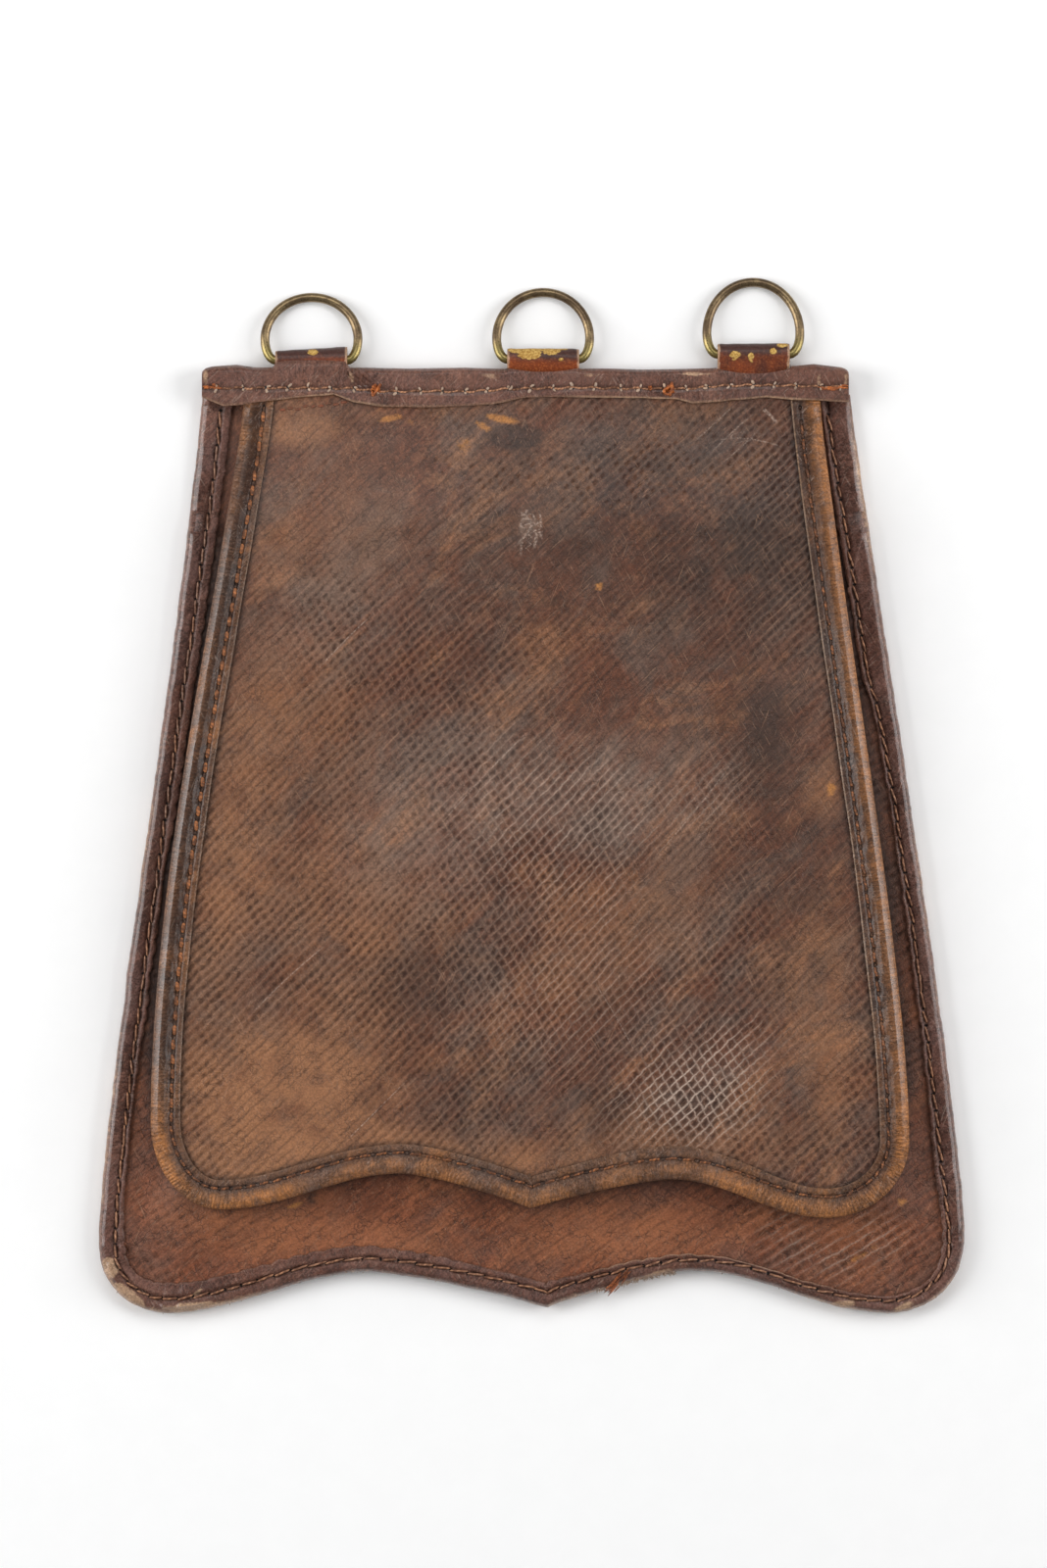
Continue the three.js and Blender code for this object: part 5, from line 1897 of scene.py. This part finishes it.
class SABRETACHE_OT_top_stitches(Builder):
    """Sew the top binding: a thin thread from hole to hole, and the torn lips of the holes"""

    bl_idname = "sabretache.top_stitches"
    bl_label = "Top Stitches"

    def execute(self, context):
        sizes, colours = self.settings(context)
        pitch = sizes.top_stitch / MM
        random = np.random.default_rng(13)
        x = np.arange(TOP_BAND_LOW[0] + 2.5, TOP_BAND_HIGH[0] - 2, 0.6)
        sag = 0.25 * np.sin(2 * math.pi * x / pitch) + 0.25 * lumps(x, 0 * x, 10, 81)
        drop = np.interp(x, *TOP_STITCH_DROP.T) + sag
        path = on_top_band(x, drop, 0.16 - 0.35 * np.cos(2 * math.pi * x / pitch) ** 6)
        points, faces = tube(path, sizes.thread / MM * 0.34, 0.26)
        marks = thread_marks(len(path), 8, x[-1] - x[0], 0.9)
        thread = waxed_thread(
            "rust_thread", colours, colours.brown_thread, colours.gold_thread_dark)
        make_piece("top_thread", points, faces, thread, "bag", marks=marks)

        lips = []
        for hole in np.arange(x[0] + pitch / 2, x[-1], pitch):
            lips.extend(self.torn_hole(hole, np.interp(hole, x, drop), random))
        torn = torn_leather("torn_leather", colours)
        make_joined("top_stitch_holes", lips, torn)
        return {"FINISHED"}

    def torn_hole(self, x, drop, random):
        """A dark hole in the line of the thread, with one torn lip above it and one below."""
        size = 0.9 + 0.4 * random.random()
        middle = np.array((x + 0.3 * random.standard_normal(), drop))
        share = np.linspace(0.15, 1, 7)
        parts = []
        for side in (1, -1):
            angle = side * math.pi / 2 + random.uniform(-0.8, 0.8)
            reach = size * random.uniform(0.9, 1.7) * share
            bend = angle + 0.5 * random.standard_normal() * share
            spots = middle + np.column_stack([np.cos(bend), -np.sin(bend)]) * reach[:, None]
            path = on_top_band(*spots.T, 0.3 * np.sin(math.pi * share))
            wide = size * random.uniform(0.28, 0.42)
            parts.append(fibre(path, wide, 0.26, 0.25 * random.random()))
        reach = np.linspace(-0.5, 0.5, 7) * size
        spots = middle + np.column_stack([0.5 * reach, reach])
        # the dark middle of the hole: painted shade
        parts.append(fibre(on_top_band(*spots.T, 0.04), 0.45 * size, 0.12, 1.0))
        return parts


class SABRETACHE_OT_loose_threads(Builder):
    """Add the knots on the top binding, the old stitches on the flap and the frayed ends"""

    bl_idname = "sabretache.loose_threads"
    bl_label = "Loose Threads"

    # Knots on the top binding: x, depth below the fold, size
    KNOTS = ((-50.6, 7.2, 1.0), (45.1, 7.2, 1.0), (38.5, 6.8, 0.5), (-103.0, 6.4, 0.5))
    # Strands at the ends of the top binding: from x and depth below the fold to x and depth
    STRANDS = (
        (-107.0, 6.4, -100.5, 6.9), (-106.6, 6.9, -101.5, 6.3), (93.2, 6.6, 98.0, 7.6),
        (94.0, 7.4, 99.5, 6.9), (97.0, 7.2, 103.0, 6.2), (96.0, 6.6, 103.0, 6.9),
    )
    OLD_STITCHES = ((-82.2, 125.3), (-59.8, 127.9))
    OLD_COUNT = 9
    TUFT = ((32.0, -153.0), (24.2, -162.8))
    TUFT_FIBRES = 22
    # Fuzz along the body binding's edge: from x, to x, count of fibres, longest fibre
    FUZZ = ((22, 47, 520, 2.0), (-100, -40, 90, 1.0), (60, 110, 90, 1.0), (-140, 140, 160, 0.9))

    def execute(self, context):
        _, colours = self.settings(context)
        random = np.random.default_rng(14)
        parts = [self.knot(*knot, random) for knot in self.KNOTS]
        parts += [self.strand(*strand, random) for strand in self.STRANDS]
        parts += [self.tuft(random) for _ in range(self.TUFT_FIBRES)]
        thread = waxed_thread(
            "orange_thread", colours, colours.orange_thread, colours.orange_thread_dark)
        make_joined("loose_threads", parts, thread)
        rust = waxed_thread("old_thread", colours, colours.loop, colours.brown_thread_dark)
        make_joined("old_stitches", self.old_row(), rust)
        raw = torn_leather("raw_fibres", colours)
        make_joined("edge_fuzz", self.fuzz(random), raw)
        return {"FINISHED"}

    def knot(self, x, drop, size, random):
        """A knot of thread, drawn tight and matted."""
        turn = np.linspace(0, 2 * math.pi, 96, endpoint=False)
        waves = [
            random.uniform(-1, 1, (3, 1)) * np.sin(k * turn + 6 * random.random((3, 1)))
            for k in range(2, 7)
        ]
        across, up, lift = 0.75 * size * sum(waves)
        z = top_band_face(x + across, drop - up) + 0.45 * size + np.clip(lift, -0.3, 1.2)
        path = np.column_stack([x + across, TOP_Y - drop + 1.2 * up, z])
        points, faces = tube(path, 0.42 * size, 0.42 * size, 8, closed=True)
        return points, faces, thread_marks(len(path), 8, 20.0, 1.2)

    def strand(self, x0, drop0, x1, drop1, random):
        """A short strand of thread that lies on the top binding."""
        share = np.linspace(0, 1, 16)
        x = x0 + (x1 - x0) * share
        wave = 0.35 * random.standard_normal() * np.sin(math.pi * share * random.uniform(1, 3))
        path = on_top_band(x, drop0 + (drop1 - drop0) * share + wave, 0.22)
        points, faces, _ = stitch(path, 0.3 + 0.12 * random.random(), 0.3)
        return points, faces, thread_marks(len(path), 8, x1 - x0, 0.9)

    def tuft(self, random):
        """One fibre of the frayed thread that hangs over the body binding's edge."""
        start, end = np.array(self.TUFT)
        first = random.uniform(0, 0.65)
        share = np.linspace(first, min(1.0, first + random.uniform(0.2, 0.5)), 14)
        side = np.array((end[1] - start[1], start[0] - end[0])) / np.linalg.norm(end - start)
        off = 0.9 * random.standard_normal() + 1.2 * random.standard_normal() * (share - first)
        run = start + (end - start) * share[:, None] + side * off[:, None]
        z = BODY_EDGE_Z + 0.3 + 0.5 * random.random() - 4.0 * smoothstep(share, 0.8, 1.0)
        path = np.column_stack([run, z])
        points, faces, _ = stitch(path, 0.13 + 0.1 * random.random(), 0.16, 6)
        return points, faces, thread_marks(len(path), 6, 4.0, 1.0, 0.7 * random.random())

    def old_row(self):
        """A short row of old stitches left on the flap."""
        (x0, y0), (x1, y1) = self.OLD_STITCHES
        bow = 0.3 * (1 - np.linspace(-1, 1, 7) ** 4) - 0.12
        rows = []
        for k in range(self.OLD_COUNT):
            share = (k + np.linspace(0.12, 0.88, 7)) / self.OLD_COUNT
            x = x0 + (x1 - x0) * share
            y = y0 + (y1 - y0) * share + 0.35 * math.sin(2.4 * k)
            rows.append(stitch(np.column_stack([x, y, flap_top(x, y) + bow]), 0.4, 0.28))
        return rows

    def fuzz(self, random):
        """Short raw fibres that stand out of the body binding's worn edge."""
        edge = Edge(BODY, 1.0)
        low = edge.points[:, 1] < BODY.left.wide_y + 8
        share = np.linspace(0, 1, 6)
        parts = []
        for x0, x1, count, longest in self.FUZZ:
            spots = np.flatnonzero(low & (edge.points[:, 0] > x0) & (edge.points[:, 0] < x1))
            for index in random.choice(spots, count):
                out = math.atan2(*-edge.inward[index][::-1]) + 0.9 * random.standard_normal()
                angle = out + 0.8 * random.standard_normal() * share
                reach = longest * random.uniform(0.35, 1.0)
                step = np.column_stack([np.cos(angle), np.sin(angle)]) * reach / len(share)
                root = edge.points[index] + (0.4 + 0.8 * random.random()) * edge.inward[index]
                z = random.uniform(1.2, BODY_EDGE_Z - 0.6) + 0.3 * share
                path = np.column_stack([root + np.cumsum(step, axis=0), z])
                parts.append(fibre(path, 0.09, 0.09, 0.55 * random.random(), 5))
        return parts


class SABRETACHE_OT_stage(Builder):
    """Set the floor, the lights and the camera"""

    bl_idname = "sabretache.stage"
    bl_label = "Stage"

    FLOOR_HALF = 3.0
    SKY_STRENGTH = 0.2
    # Soft lights: name, place and size in metres, power in watts
    LIGHTS = (
        ("left_softbox", (-1.3, 0.1, 0.75), 0.8, 1.4, 19.0),
        ("right_softbox", (1.3, 0.15, 0.75), 0.8, 1.4, 16.0),
        ("top_softbox", (0.0, 1.1, 1.4), 1.4, 0.8, 9.0),
    )

    def execute(self, context):
        _, colours = self.settings(context)
        half = self.FLOOR_HALF
        mesh = bpy.data.meshes.new("floor")
        corners = [(-half, -half, 0), (half, -half, 0), (half, half, 0), (-half, half, 0)]
        mesh.from_pydata(corners, [], [(0, 1, 2, 3)])
        mesh.materials.append(floor_paper("floor_paper", colours))
        floor = bpy.data.objects.new("floor", mesh)
        context.scene.collection.objects.link(floor)
        for light in self.LIGHTS:
            self.add_light(context, *light)
        world = bpy.data.worlds.new("studio")
        world.use_nodes = True
        sky = world.node_tree.nodes["Background"].inputs
        sky["Color"].default_value = (1, 1, 1, 1)
        sky["Strength"].default_value = self.SKY_STRENGTH
        context.scene.world = world
        context.scene.view_settings.view_transform = "Standard"
        self.add_camera(context)
        return {"FINISHED"}

    def add_light(self, context, name, place, width, height, power):
        lamp = bpy.data.lights.new(name, "AREA")
        lamp.shape = "RECTANGLE"
        lamp.size = width
        lamp.size_y = height
        lamp.energy = power
        light = bpy.data.objects.new(name, lamp)
        light.location = place
        light.rotation_euler = (-light.location).to_track_quat("-Z", "Y").to_euler()
        context.scene.collection.objects.link(light)

    def add_camera(self, context):
        lens = bpy.data.cameras.new("camera")
        lens.sensor_width = SENSOR
        lens.lens = SENSOR * CAMERA_HEIGHT / FRAME_HEIGHT
        lens.clip_end = 20
        camera = bpy.data.objects.new("camera", lens)
        middle_x, middle_y = FRAME_MIDDLE
        camera.location = (middle_x * MM, (middle_y + Y_SHIFT) * MM, CAMERA_HEIGHT * MM)
        context.scene.collection.objects.link(camera)
        context.scene.camera = camera


STEPS = (
    SABRETACHE_OT_body_binding,
    SABRETACHE_OT_back_panel,
    SABRETACHE_OT_pouch_front,
    SABRETACHE_OT_flap_binding,
    SABRETACHE_OT_flap,
    SABRETACHE_OT_top_binding,
    SABRETACHE_OT_ring_loops,
    SABRETACHE_OT_d_rings,
    SABRETACHE_OT_flap_stitches,
    SABRETACHE_OT_body_stitches,
    SABRETACHE_OT_top_stitches,
    SABRETACHE_OT_loose_threads,
    SABRETACHE_OT_stage,
)


class SABRETACHE_PT_panel(bpy.types.Panel):
    """Lists the pieces of the sabretache and what a user may change"""

    bl_idname = "SABRETACHE_PT_panel"
    bl_label = "Sabretache"
    bl_space_type = "VIEW_3D"
    bl_region_type = "UI"
    bl_category = "Sabretache"

    def draw(self, context):
        for group in (context.scene.sabretache_sizes, context.scene.sabretache_colours):
            box = self.layout.box()
            for key in group.__annotations__:
                box.prop(group, key)
        for step in STEPS:
            self.layout.operator(step.bl_idname)


CLASSES = (SabretacheSizes, SabretacheColours, *STEPS, SABRETACHE_PT_panel)


def register():
    for each in CLASSES:
        bpy.utils.register_class(each)
    bpy.types.Scene.sabretache_sizes = PointerProperty(type=SabretacheSizes)
    bpy.types.Scene.sabretache_colours = PointerProperty(type=SabretacheColours)


def unregister():
    del bpy.types.Scene.sabretache_colours
    del bpy.types.Scene.sabretache_sizes
    for each in reversed(CLASSES):
        bpy.utils.unregister_class(each)


def main():
    register()
    for step in STEPS:
        family, action = step.bl_idname.split(".")
        getattr(getattr(bpy.ops, family), action)()


if __name__ == "__main__":
    main()
